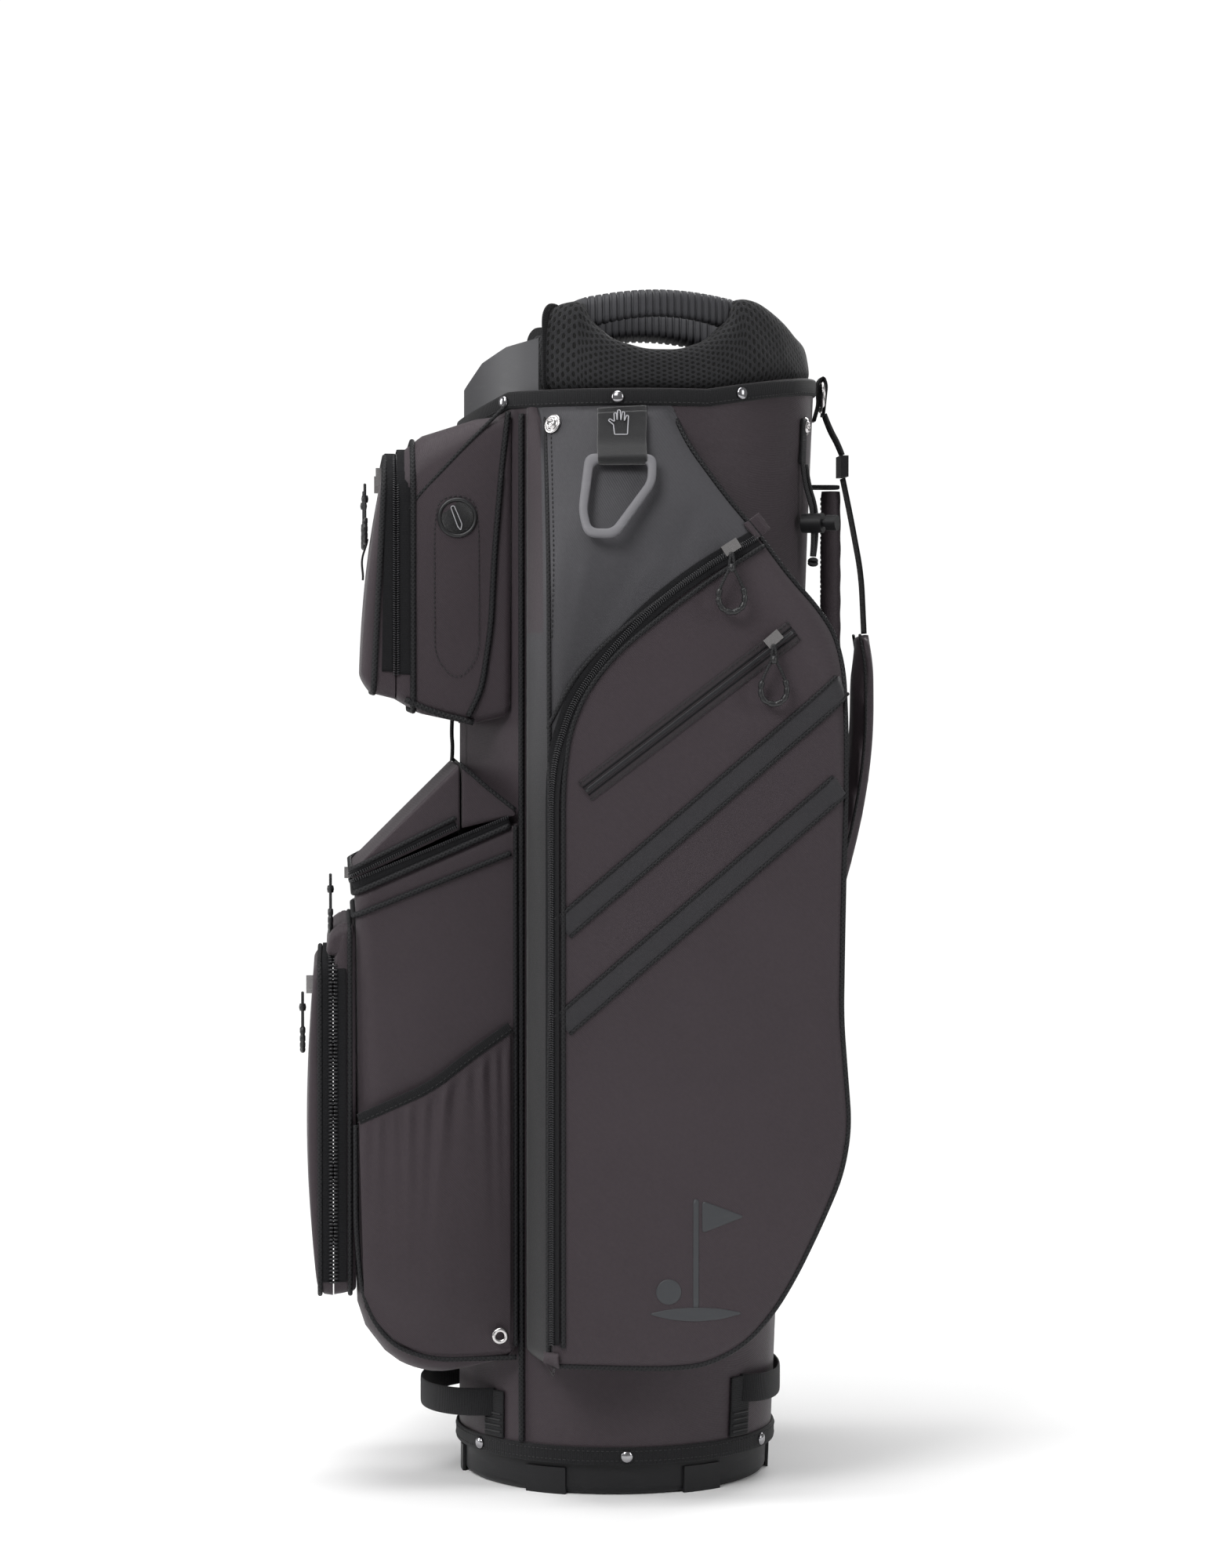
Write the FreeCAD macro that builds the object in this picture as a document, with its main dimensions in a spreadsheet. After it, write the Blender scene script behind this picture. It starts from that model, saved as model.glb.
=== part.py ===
import FreeCAD, Part
import math
import os
import re
import Sketcher

# Golf cart bag, in millimetres. +Z is up, the origin is the centre of the base's underside,
# the front pockets face -Y, the shoulder strap is on the +Y side, and X is left and right.

DRIVING_SIZES = {
    # tapered, slightly leaning club tube
    "base_radius": 120, "top_radius": 136, "top_shift": 17, "rim_height": 822,
    "rim_front_break": 85, "rim_front_slope": 0.47, "rim_back_break": 60, "rim_back_slope": 0.17,
    "shell_wall": 3, "shell_foot": 24, "seat_gap": 0.3, "tube_tail": 60, "tube_head": 140, "wide": 260,
    # moulded base
    "cup_height": 60, "cup_floor": 4, "cup_wall": 3, "cup_fillet": 6,
    "foot_width": 33, "foot_height": 20, "foot_count": 6, "foot_proud": 2,
    # inner structure
    "stay_radius": 4, "stay_angle": 20, "ring_depth": 52, "ring_wall": 4.2,
    "bar_drop": 14, "bar_height": 14, "bar_width": 6, "row_pitch": 60, "panel_wall": 1.6,
    "bar_clearance": 0.4, "rod_clearance": 0.4,
    # mouth: lip, collar and grips, with heights counted up from the rim
    "lip_inset": 17, "lip_end": 64, "lip_start": 4, "lip_rise": 40,
    "collar_foot_inset": 3, "collar_top_inset": 19, "collar_bore_inset": 29, "collar_span": 80,
    "collar_front_rise": 66, "collar_back_rise": 71, "collar_dip_rise": 24, "ledge_front_rise": 45,
    "ledge_back_rise": 44, "grip_front": 34, "grip_back": 87.5, "grip_thick": 22, "grip_inset": 14,
    "grip_wall": 18, "grip_rise": 7,
    # bindings, rivets, piping, snaps
    "binding_width": 13, "binding_wall": 2.2, "rim_rivet_count": 9, "base_rivet_count": 6,
    "rivet_radius": 4.5, "rivet_dome": 2.2, "piping_line": 76, "piping_radius": 2.4,
    "snap_radius": 7.5, "snap_thick": 2.4, "snap_bore": 3.2, "snap_drop": 25,
    # side pockets, standing out from the tube's top radius
    "side_front": 72, "side_back_stand": 30, "side_bottom": 98, "side_stand": 32, "side_inner": 60,
    "side_top_stand": 4, "side_flare": 0.36,
    "main_slider_y": 73, "main_slider_drop": 117, "welt_slider_y": 104, "welt_slider_drop": 184,
    "main_roll": 57, "welt_roll": 49,
    # upper front pocket and its door
    "valuables_half": 95, "valuables_drop": 17, "valuables_height": 222, "valuables_depth": 33,
    "valuables_door_depth": 29, "pocket_wall": 4, "door_wall": 3, "zip_gap": 0.8,
    "chamfer_drop": 60, "chamfer_half": 62,
    # lower front pocket, lid and front door
    "lower_half": 100, "lower_back": 80, "lower_depth": 64, "lower_bottom": 83,
    "lower_rim_front": 456, "lower_rim_back": 506, "lid_hinge_inset": 14, "lid_hinge_z": 545,
    "lid_proud": 3, "front_half": 92, "front_bottom": 146, "front_top": 400,
    "front_depth": 16, "front_door_depth": 20, "pouch_proud": 9.5, "pouch_skin": 2.4,
    "pouch_top_back": 350,
    # zip sliders and pulls
    "slider_length": 13, "slider_width": 8, "slider_height": 5, "pull_length": 46,
    "pull_half": 12, "pull_thick": 4.5, "pull_rim": 4.5, "pull_neck": 3, "pull_top": 1,
    # gear ring on its hook-and-loop tab
    "tab_width": 36, "tab_thick": 2.4, "ring_bar": 2.2, "pin_gap": 0.06, "ring_length": 66,
    "ring_top_half": 27, "ring_low_half": 12, "ring_rim": 7, "tab_length": 42,
    # back: strap, carry handle, umbrella loop, base handles
    "strap_half": 27, "webbing_half": 12.5, "webbing_thick": 2, "strap_low": 322, "strap_ring": 12,
    "strap_wire": 1.8, "carry_radius": 8, "carry_stand": 15, "carry_drop": 67, "carry_length": 190,
    "tab_plate": 3, "lock_radius": 7.5, "lock_length": 16, "lock_angle": 64, "lock_drop": 95,
    "plunger_radius": 6, "stem_radius": 3, "plunger_length": 8, "plunger_travel": 3, "stem_length": 6.5,
    "cord_diameter": 3.5, "pocket_cord_diameter": 3, "handle_strip": 22, "front_handle_reach": 150,
    "front_handle_half": 75, "front_handle_low": 52, "rear_handle_half": 86, "rear_handle_stand": 8,
    "rear_handle_low": 62,
    "eyelet_radius": 6, "eyelet_bore": 3, "eyelet_thick": 1.6, "pen_radius": 13, "pen_bore": 9.5,
}

# Sizes that follow from the driving ones, each written out wherever its name stands.
DERIVED_SIZES = {
    "ring_foot": "(rim_height - ring_depth)", "bar_top": "(rim_height - bar_drop)",
    "lip_front": "(top_radius - lip_inset)", "lip_low": "(rim_height + lip_start)",
    "lip_high": "(rim_height + lip_rise)",
    "collar_foot_radius": "(top_radius - collar_foot_inset)",
    "collar_top_radius": "(top_radius - collar_top_inset)",
    "collar_bore": "(top_radius - collar_bore_inset)",
    "collar_front_top": "(rim_height + collar_front_rise)",
    "collar_back_top": "(rim_height + collar_back_rise)",
    "collar_dip": "(rim_height + collar_dip_rise)", "ledge_front": "(rim_height + ledge_front_rise)",
    "ledge_back": "(rim_height + ledge_back_rise)", "grip_outer": "(top_radius - grip_inset)",
    "snap_height": "(rim_height - snap_drop)",
    "side_back": "(top_radius + side_back_stand)", "side_reach": "(top_radius + side_stand)",
    "side_top_reach": "(top_radius + side_top_stand)",
    "main_slider_z": "(rim_height - main_slider_drop)",
    "welt_slider_z": "(rim_height - welt_slider_drop)",
    "valuables_top": "(rim_height - valuables_drop)",
    "valuables_bottom": "(valuables_top - valuables_height)",
    "valuables_zip": "(top_radius + valuables_depth)",
    "valuables_reach": "(valuables_zip + valuables_door_depth)",
    "chamfer_start": "(valuables_top - chamfer_drop)",
    "lower_reach": "(top_radius + lower_depth)", "lid_reach": "(lower_reach + lid_proud)",
    "lid_hinge_y": "(top_radius - lid_hinge_inset)",
    "front_zip": "(lower_reach + front_depth)", "front_reach": "(front_zip + front_door_depth)",
    "pouch_reach": "(lower_half + pouch_proud)",
    "pull_swing": "(sqrt(pull_top * pull_top + pull_thick * pull_thick / 4) + seat_gap)",
    "carry_high": "(rim_height - carry_drop)", "carry_low": "(carry_high - carry_length)",
    "tube_back": "(top_shift + top_radius)", "carry_y": "(tube_back + carry_stand)",
    "lock_height": "(rim_height - lock_drop)", "side_top": "(rim_height - binding_width - 1)",
}

doc = FreeCAD.newDocument("GolfCartBag")
sheet = doc.addObject("Spreadsheet::Sheet", "Sizes")
for row, (alias, value) in enumerate(DRIVING_SIZES.items(), start=1):
    sheet.set(f"A{row}", str(value))
    sheet.setAlias(f"A{row}", alias)
doc.recompute()

WORD = re.compile(r"[a-z_]+")
PARTS = []
SIDE, FRONT, TOP = "side", "front", "top"
PLANES = {
    SIDE: (FreeCAD.Rotation(FreeCAD.Vector(1, 1, 1), 120), FreeCAD.Vector(1, 0, 0)),
    FRONT: (FreeCAD.Rotation(FreeCAD.Vector(1, 0, 0), 90), FreeCAD.Vector(0, 1, 0)),
    TOP: (FreeCAD.Rotation(), FreeCAD.Vector(0, 0, 1)),
}


# ---- helpers: every size reaches an object as an expression on the sheet ----

def bound(text):
    """An expression in plain size names, with each name turned into its cell."""
    text = str(text)
    while set(WORD.findall(text)) & set(DERIVED_SIZES):
        text = WORD.sub(lambda m: DERIVED_SIZES.get(m[0], m[0]), text)
    return WORD.sub(lambda m: "Sizes." + m[0] if m[0] in DRIVING_SIZES else m[0], text)


def number(text):
    return float(sheet.evalExpression(bound(text)))


def add(kind, name, **sizes):
    item = doc.addObject(kind, name)
    for prop, text in sizes.items():
        item.setExpression(prop, bound(text))
    return item


def place(item, x=0, y=0, z=0, rotation=None):
    """Set an object's Placement, its base point bound to the sheet."""
    item.Placement = FreeCAD.Placement(FreeCAD.Vector(), rotation or FreeCAD.Rotation())
    for axis, text in zip("xyz", (x, y, z)):
        if text != 0:
            item.setExpression(f"Placement.Base.{axis}", bound(text))
    return item


def box(name, x, y, z):
    """A box between two bounds on each axis."""
    item = add("Part::Box", name, Length=f"({x[1]}) - ({x[0]})", Width=f"({y[1]}) - ({y[0]})",
               Height=f"({z[1]}) - ({z[0]})")
    return place(item, x[0], y[0], z[0])


def cylinder(name, radius, height, x=0, y=0, z=0, rotation=None):
    return place(add("Part::Cylinder", name, Radius=radius, Height=height), x, y, z, rotation)


def cut(name, base, tool):
    item = doc.addObject("Part::Cut", name)
    item.Base, item.Tool = base, tool
    return item


def common(name, *shapes):
    item = doc.addObject("Part::MultiCommon", name)
    item.Shapes = list(shapes)
    return item


def fuse(name, *shapes):
    item = doc.addObject("Part::MultiFuse", name)
    item.Shapes = list(shapes)
    return item


def group(name, shapes):
    item = doc.addObject("Part::Compound", name)
    item.Links = list(shapes)
    return item


def mirrored(name, source):
    item = doc.addObject("Part::Mirroring", name)
    item.Source, item.Normal = source, FreeCAD.Vector(1, 0, 0)
    return item


def outline(name, plane, points, rounds=()):
    """A closed sketch through points given as expressions; rounds are (corner, radius) pairs."""
    sketch = doc.addObject("Sketcher::SketchObject", name)
    sketch.Placement = FreeCAD.Placement(FreeCAD.Vector(), PLANES[plane][0])
    flat = [FreeCAD.Vector(number(u), number(v), 0) for u, v in points]
    count = len(flat)
    sketch.addGeometry([Part.LineSegment(flat[i], flat[(i + 1) % count]) for i in range(count)], False)
    sketch.addConstraint(
        [Sketcher.Constraint("Coincident", i, 2, (i + 1) % count, 1) for i in range(count)])
    for i, (point, at) in enumerate(zip(points, flat)):
        for kind, text, value in (("DistanceX", point[0], at.x), ("DistanceY", point[1], at.y)):
            index = sketch.addConstraint(Sketcher.Constraint(kind, -1, 1, i, 1, value))
            sketch.setExpression(f"Constraints[{index}]", bound(text))
    for corner, radius in rounds:
        sketch.fillet(corner, 1, number(radius), True, True)
        arcs = [g for g, item in enumerate(sketch.Geometry) if item.TypeId == "Part::GeomArcOfCircle"]
        index = sketch.addConstraint(Sketcher.Constraint("Radius", arcs[-1], number(radius)))
        sketch.setExpression(f"Constraints[{index}]", bound(radius))
    return sketch


def prism(name, plane, points, low, high, rounds=()):
    """An outline pushed from low to high along its plane's normal."""
    sketch = outline(name + "_outline", plane, points, rounds)
    item = add("Part::Extrusion", name, LengthFwd=high, LengthRev=f"-({low})")
    item.Base, item.Solid, item.DirMode, item.Dir = sketch, True, "Custom", PLANES[plane][1]
    return item


def shaped(base, span, height, shares):
    """Outline points from shares of a span and a height, counted from a base corner."""
    return [(f"{base[0]} + ({span}) * {u}", f"{base[1]} + ({height}) * {v}") for u, v in shares]


def keep(label, item):
    """Name an object as a finished sub-part."""
    item.Label = label
    PARTS.append(item)
    return item


# ---- the tube's own geometry ----

def radius_at(z):
    return f"(base_radius + (top_radius - base_radius) * ({z}) / rim_height)"


def centre_at(z):
    return f"(top_shift * ({z}) / rim_height)"


LEAN = FreeCAD.Rotation(FreeCAD.Vector(-1, 0, 0), math.degrees(math.atan(number("top_shift / rim_height"))))
CONES = {}


def tube_at(offset):
    """The tube's leaning cone, grown or shrunk by an offset."""
    if offset not in CONES:
        cone = add("Part::Cone", f"tube_{len(CONES)}",
                   Radius1=f"{radius_at('-tube_tail')} + ({offset})",
                   Radius2=f"{radius_at('rim_height + tube_head')} + ({offset})",
                   Height="tube_tail + rim_height + tube_head")
        CONES[offset] = place(cone, 0, centre_at("-tube_tail"), "-tube_tail", LEAN)
    return CONES[offset]


def slab(name, low, high):
    return box(name, ("-wide", "wide"), ("-wide", "wide"), (low, high))


def band(name, outer, inner, window):
    """The part of the wall between two offsets of the tube that a window solid keeps."""
    wall = cut(name + "_wall", tube_at(outer), tube_at(inner))
    return common(name, wall, window)


def rim_line(drop):
    """The rim in side view, level over the sides, lower in front and higher behind."""
    return [
        ("-wide", f"rim_height - ({drop}) - rim_front_slope * (wide - rim_front_break)"),
        ("-rim_front_break", f"rim_height - ({drop})"),
        ("rim_back_break", f"rim_height - ({drop})"),
        ("wide", f"rim_height - ({drop}) + rim_back_slope * (wide - rim_back_break)"),
    ]


def rim_at(y, drop):
    front = f"rim_front_slope * max(0; -({y}) - rim_front_break)"
    back = f"rim_back_slope * max(0; ({y}) - rim_back_break)"
    return f"rim_height - ({drop}) - {front} + {back}".replace(";", ",")


def on_tube(angle, z, offset):
    """Point at an offset from the tube's wall; angle from +X towards +Y, in degrees."""
    radius = number(radius_at(z)) + number(offset)
    turn = math.radians(angle)
    return FreeCAD.Vector(radius * math.cos(turn), number(centre_at(z)) + radius * math.sin(turn), number(z))


def facing(angle):
    """Rotation that turns local +Z to the tube's outward normal at an angle."""
    turn = math.radians(angle)
    return FreeCAD.Rotation(FreeCAD.Vector(-math.sin(turn), math.cos(turn), 0), 90)


def set_on_tube(item, angle, z, offset, rotation=None):
    item.Placement = FreeCAD.Placement(on_tube(angle, z, offset), rotation or facing(angle))
    return item


# ---- base, shell and inner structure ----

def make_base():
    outside = common("cup_outside", tube_at("-shell_wall - seat_gap"), slab("cup_slab", "0", "cup_height"))
    hollow = common("cup_hollow", tube_at("-shell_wall - seat_gap - cup_wall"),
                    slab("cup_room", "cup_floor", "cup_height + 1"))
    doc.recompute()
    rounded = doc.addObject("Part::Fillet", "cup_rounded")
    rounded.Base = outside
    edges = outside.Shape.Edges
    low = [i + 1 for i, edge in enumerate(edges) if edge.BoundBox.ZMax < number("seat_gap")]
    rounded.Edges = [(i, number("cup_fillet"), number("cup_fillet")) for i in low]
    keep("base_cup", cut("base_cup", rounded, hollow))
    spokes = []
    for i in range(int(number("foot_count / 2"))):
        bar = add("Part::Box", f"foot_bar_{i}", Length="2 * wide", Width="foot_width", Height="foot_height")
        turn = FreeCAD.Rotation(FreeCAD.Vector(0, 0, 1), 30 + 360 * i / number("foot_count"))
        bar.Placement = FreeCAD.Placement(
            turn.multVec(FreeCAD.Vector(-number("wide"), -number("foot_width / 2"), 0)), turn)
        spokes.append(bar)
    keep("base_feet", band("base_feet", "-shell_wall + foot_proud", "-shell_wall",
                           fuse("foot_bars", *spokes)))


def make_shell():
    side = rim_line("0") + [("wide", "shell_foot"), ("-wide", "shell_foot")]
    window = prism("shell_window", SIDE, side, "-wide", "wide")
    keep("body_shell", band("body_shell", "0", "-shell_wall", window))
    rods = []
    low_radius = f"{radius_at('cup_floor')} - shell_wall - seat_gap - cup_wall - rod_clearance - stay_radius"
    high_radius = f"{radius_at('ring_foot')} - shell_wall - rod_clearance - stay_radius"
    ends = (("cup_floor + seat_gap", low_radius), ("ring_foot - seat_gap", high_radius))
    for i, angle in enumerate(("stay_angle", "180 - stay_angle", "270")):
        circles = []
        for j, (level, reach) in enumerate(ends):
            circle = add("Part::Circle", f"stay_{i}_{j}", Radius="stay_radius")
            circles.append(place(circle, f"({reach}) * cos({angle})",
                                 f"{centre_at(level)} + ({reach}) * sin({angle})", level))
        rod = doc.addObject("Part::Loft", f"stay_{i}")
        rod.Sections, rod.Solid, rod.Ruled = circles, True, True
        rods.append(rod)
    keep("stay_rods", group("stay_rods", rods))


def make_dividers():
    inside = "-shell_wall - seat_gap - ring_wall - bar_clearance"
    cell_counts = (3, 4, 4, 3)
    centre = centre_at("bar_top")
    low, high = "bar_top - bar_height", "bar_top"
    bars, panels = [], []
    for i, line in enumerate((-1, 0, 1)):
        middle = f"{centre} + row_pitch * {line}"
        bar = box(f"row_bar_{i}", ("-wide", "wide"), (f"{middle} - bar_width / 2", f"{middle} + bar_width / 2"),
                  (low, high))
        bars.append(common(f"row_bar_fit_{i}", bar, tube_at(inside)))
        panel = box(f"row_panel_{i}", ("-wide", "wide"),
                    (f"{middle} - panel_wall / 2", f"{middle} + panel_wall / 2"),
                    ("cup_floor + seat_gap", f"{low} - seat_gap"))
        panels.append(common(f"row_panel_fit_{i}", panel, tube_at(inside + " - cup_wall")))
    for row, cells in enumerate(cell_counts):
        start = f"{centre} + row_pitch * {row - 2} + bar_width / 2 + bar_clearance"
        end = f"{centre} + row_pitch * {row - 1} - bar_width / 2 - bar_clearance"
        width = f"2 * {radius_at('bar_top')} / {cells}"
        if cells == 3:
            width = f"({width}) * 0.8"
            start = start if row else "-wide"
            end = "wide" if row else end
        for k in range(1, cells):
            x = f"({width}) * {k - cells / 2}"
            bar = box(f"cell_bar_{row}_{k}", (f"{x} - bar_width / 2", f"{x} + bar_width / 2"), (start, end),
                      (low, high))
            bars.append(common(f"cell_bar_fit_{row}_{k}", bar, tube_at(inside)))
    keep("divider_bars", group("divider_bars", bars))
    keep("divider_panels", group("divider_panels", panels))


# ---- mouth: lip ring, padded collar and the two side grips ----

def make_mouth():
    lip = [("-wide", "lip_low"), ("-lip_front", "lip_low"), ("-lip_front + 15", "lip_low + 21"),
           ("-lip_front + 32", "lip_high - 5"), ("-lip_end", "lip_high"), ("-lip_end", "rim_height")]
    ring_side = lip + rim_line("0")[2:] + [("wide", "ring_foot"), ("-wide", "ring_foot")]
    window = prism("ring_window", SIDE, ring_side, "-wide", "wide")
    keep("top_ring", band("top_ring", "-shell_wall - seat_gap", "-shell_wall - seat_gap - ring_wall", window))

    cone = place(add("Part::Cone", "collar_cone", Radius1="collar_foot_radius", Radius2="collar_top_radius",
                     Height="collar_span"), 0, centre_at("rim_height"), "rim_height - 2", LEAN)
    bore = cylinder("collar_bore_hole", "collar_bore", "2 * collar_span", 0, centre_at("rim_height"),
                    "rim_height - collar_span", LEAN)
    front = "-lip_end + seat_gap"
    ledge_span = "(grip_back + grip_front)"
    dip = [("-grip_front - seat_gap", "ledge_front"), ("-grip_front + 11", "ledge_front"),
           (f"-grip_front + {ledge_span} * 0.3", "collar_dip + 7"),
           (f"-grip_front + {ledge_span} * 0.53", "collar_dip"),
           (f"-grip_front + {ledge_span} * 0.76", "collar_dip + 4"),
           ("grip_back - 7", "ledge_back"), ("grip_back + seat_gap", "ledge_back")]
    top = [(front, "lip_high + 4"), (f"{front} + 7", "collar_front_top - 8"),
           ("-grip_front - seat_gap", "collar_front_top")]
    back = [("grip_back + seat_gap", "collar_back_top"), ("grip_back + 9", "collar_back_top - 1"),
            ("grip_back + 23", "collar_back_top - 7"), ("grip_back + 46", "collar_back_top - 25"),
            ("grip_back + 59", "collar_back_top - 48"), ("wide", "collar_back_top - 60")]
    foot = [(y, f"{z} + seat_gap") for y, z in reversed(rim_line("0")[2:])]
    collar_side = top + dip + back + foot + [(front, "rim_height + seat_gap")]
    window = prism("collar_window", SIDE, collar_side, "-wide", "wide")
    keep("collar_pad", common("collar_pad", cut("collar_wall", cone, bore), window))

    outer = cylinder("grip_cylinder", "grip_outer", "2 * collar_span", 0, centre_at("rim_height"),
                     "rim_height - collar_span / 2", LEAN)
    inner = cylinder("grip_hollow", "grip_outer - grip_wall", "2 * collar_span", 0,
                     centre_at("rim_height"), "rim_height - collar_span / 2", LEAN)
    low, high = "ledge_front + seat_gap", "ledge_front + seat_gap + grip_thick + 2"
    arch = [("-grip_front", low), ("-grip_front + 12", f"{low} + 1"),
            (f"-grip_front + {ledge_span} * 0.28", f"{low} + 8.5"),
            (f"-grip_front + {ledge_span} * 0.5", f"{low} + 12"),
            (f"-grip_front + {ledge_span} * 0.72", f"{low} + 8.5"),
            ("grip_back - 12", f"{low} + 1"), ("grip_back", low),
            ("grip_back", high), (f"-grip_front + {ledge_span} * 0.75", f"{high} + grip_rise * 0.75"),
            (f"-grip_front + {ledge_span} * 0.5", f"{high} + grip_rise"),
            (f"-grip_front + {ledge_span} * 0.25", f"{high} + grip_rise * 0.75"), ("-grip_front", high)]
    window = prism("grip_window", SIDE, arch, "0", "wide")
    right = keep("grip_right", common("grip_right", cut("grip_wall_ring", outer, inner), window))
    keep("grip_left", mirrored("grip_left", right))


# ---- bindings, rivets, piping and snaps ----

def make_trim():
    outer, inner = "seat_gap + binding_wall", "seat_gap"
    upper = prism("upper_binding_window", SIDE, rim_line("0") + rim_line("binding_width")[::-1],
                  "-wide", "wide")
    keep("upper_binding", band("upper_binding", outer, inner, upper))
    keep("lower_binding", band("lower_binding", outer, inner,
                               slab("lower_binding_slab", "shell_foot", "shell_foot + binding_width")))

    def rivets(label, angles, height):
        domes = []
        for i, angle in enumerate(angles):
            level = height(angle)
            dome = add("Part::Ellipsoid", f"{label}_{i}", Radius1="rivet_dome", Radius2="rivet_radius")
            dome.Angle1 = 0
            domes.append(set_on_tube(dome, angle, level, "2 * seat_gap + binding_wall"))
        keep(label, group(label, domes))

    def rim_level(angle):
        y = f"{centre_at('rim_height')} + {radius_at('rim_height')} * sin({angle})"
        return rim_at(y, "binding_width / 2")

    rim_count, base_count = int(number("rim_rivet_count")), int(number("base_rivet_count"))
    rivets("rim_rivets", [-90 + 360 * i / rim_count for i in range(rim_count)], rim_level)
    rivets("base_rivets", [-90 + 360 * i / base_count for i in range(base_count)],
           lambda angle: "shell_foot + binding_width / 2")

    pipes = []
    for side in (-1, 1):
        ends = []
        for j, level in enumerate(("shell_foot + binding_width + 1", "rim_height - binding_width - 1")):
            reach = f"({radius_at(level)} + piping_radius + seat_gap)"
            x = f"{side} * sqrt({reach} * {reach} - (piping_line + {centre_at(level)}) ^ 2)"
            end = add("Part::Circle", f"spine_{side + 1}_{j}", Radius="piping_radius")
            ends.append(place(end, x, "-piping_line", level))
        pipe = doc.addObject("Part::Loft", f"spine_{side + 1}")
        pipe.Sections, pipe.Solid, pipe.Ruled = ends, True, True
        pipes.append(pipe)
    keep("spine_pipings", group("spine_pipings", pipes))

    snaps = []
    flare = math.atan(number("side_flare"))
    on_panel = f"side_top_reach + side_flare * (side_top - snap_height) - {radius_at('snap_height')} + seat_gap"
    for i, (angle, slope, seat) in enumerate(((-31, flare, on_panel), (211, flare, on_panel),
                                              (50, 0, "2 * seat_gap"), (130, 0, "2 * seat_gap"))):
        disc = add("Part::Cylinder", f"snap_disc_{i}", Radius="snap_radius", Height="snap_thick")
        hole = add("Part::Cylinder", f"snap_hole_{i}", Radius="snap_bore", Height="snap_thick")
        out = math.radians(angle)
        normal = FreeCAD.Vector(math.cos(out) * math.cos(slope), math.sin(out) * math.cos(slope),
                                math.sin(slope))
        for item in (disc, hole):
            set_on_tube(item, angle, "snap_height", seat,
                        FreeCAD.Rotation(FreeCAD.Vector(0, 0, 1), normal))
        snaps.append(cut(f"snap_{i}", disc, hole))
    keep("hood_snaps", group("hood_snaps", snaps))


# ---- side pockets ----

SIDE_SHAPE = [(0, 0), (0.43, 0.003), (0.655, 0.024), (0.82, 0.096), (0.975, 0.2), (1, 0.254),
              (0.966, 0.369), (0.979, 0.611), (0.983, 0.732), (0.895, 0.797), (0.714, 0.87),
              (0.483, 0.975), (0.441, 1), (0, 1)]


def make_side_pockets():
    top = "side_top"
    side = prism("side_pocket_side", SIDE,
                 shaped(("-side_front", "side_bottom"), "side_front + side_back", f"{top} - side_bottom",
                        SIDE_SHAPE), "side_inner", "side_reach")
    plan = [("side_inner", "-side_front"), ("base_radius - 20", "-side_front"),
            ("side_reach - 3", "-side_front + 17"), ("side_reach", "-side_front + 23"),
            ("side_reach", "side_back - 16"), ("side_reach - 12", "side_back"),
            ("side_inner * 2", "side_back"), ("side_inner + 22", "side_back - 40"),
            ("side_inner", "side_back - 66")]
    plan_solid = prism("side_pocket_plan", TOP, plan, "side_bottom - 1", f"{top} + 1")
    front = [("side_inner - 1", "side_bottom - 1"), ("side_reach - 30", "side_bottom - 1"),
             ("side_reach - 8", "side_bottom + 16"), ("side_reach", "side_bottom + 44"),
             ("side_reach", f"{top} + 1"), ("side_inner - 1", f"{top} + 1")]
    front_solid = prism("side_pocket_front", FRONT, front, "-wide", "wide")
    flare = place(add("Part::Cone", "side_flare_cone",
                      Radius1=f"side_top_reach + side_flare * ({top} - side_bottom)",
                      Radius2="side_top_reach", Height=f"{top} - side_bottom"),
                  0, "top_shift", "side_bottom")
    body = common("side_pocket_body", side, plan_solid, front_solid, flare)
    right = keep("side_pocket_right", cut("side_pocket_right", body, tube_at("2 * seat_gap")))
    keep("side_pocket_left", mirrored("side_pocket_left", right))


# ---- zip sliders and pulls ----

def pull(name, point, normal_angle, tip=0):
    """A hanging pull: a flat teardrop loop whose hinge is at point, facing a plan angle.

    Its local frame has X along the hinge, Y through the loop, which the hinge halves, and Z up.
    tip leans it outwards. Its top stays within pull_swing of the hinge when it turns.
    """
    outer = [("-pull_half", "-pull_length"), ("pull_half", "-pull_length"),
             ("pull_half", "-pull_length * 0.55"), ("pull_neck", "-pull_length * 0.12"),
             ("pull_neck", "pull_top"), ("-pull_neck", "pull_top"), ("-pull_neck", "-pull_length * 0.12"),
             ("-pull_half", "-pull_length * 0.55")]
    inner = [("-pull_half + pull_rim", "-pull_length + pull_rim"),
             ("pull_half - pull_rim", "-pull_length + pull_rim"),
             ("pull_half - pull_rim", "-pull_length * 0.57"), ("1", "-pull_length * 0.3"),
             ("-1", "-pull_length * 0.3"), ("-pull_half + pull_rim", "-pull_length * 0.57")]
    plate = prism(name + "_plate", FRONT, outer, "-pull_thick / 2", "pull_thick / 2",
                  [(0, "pull_half * 0.8"), (1, "pull_half * 0.8")])
    window = prism(name + "_window", FRONT, inner, "-pull_thick", "pull_thick",
                   [(0, "pull_half * 0.45"), (1, "pull_half * 0.45")])
    item = cut(name, plate, window)
    turn = FreeCAD.Rotation(FreeCAD.Vector(0, 0, 1), normal_angle - 90)
    lean = FreeCAD.Rotation(FreeCAD.Vector(1, 0, 0), tip)
    item.Placement = FreeCAD.Placement(FreeCAD.Vector(*[number(c) for c in point]), turn * lean)
    return keep(name, item)


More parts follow.
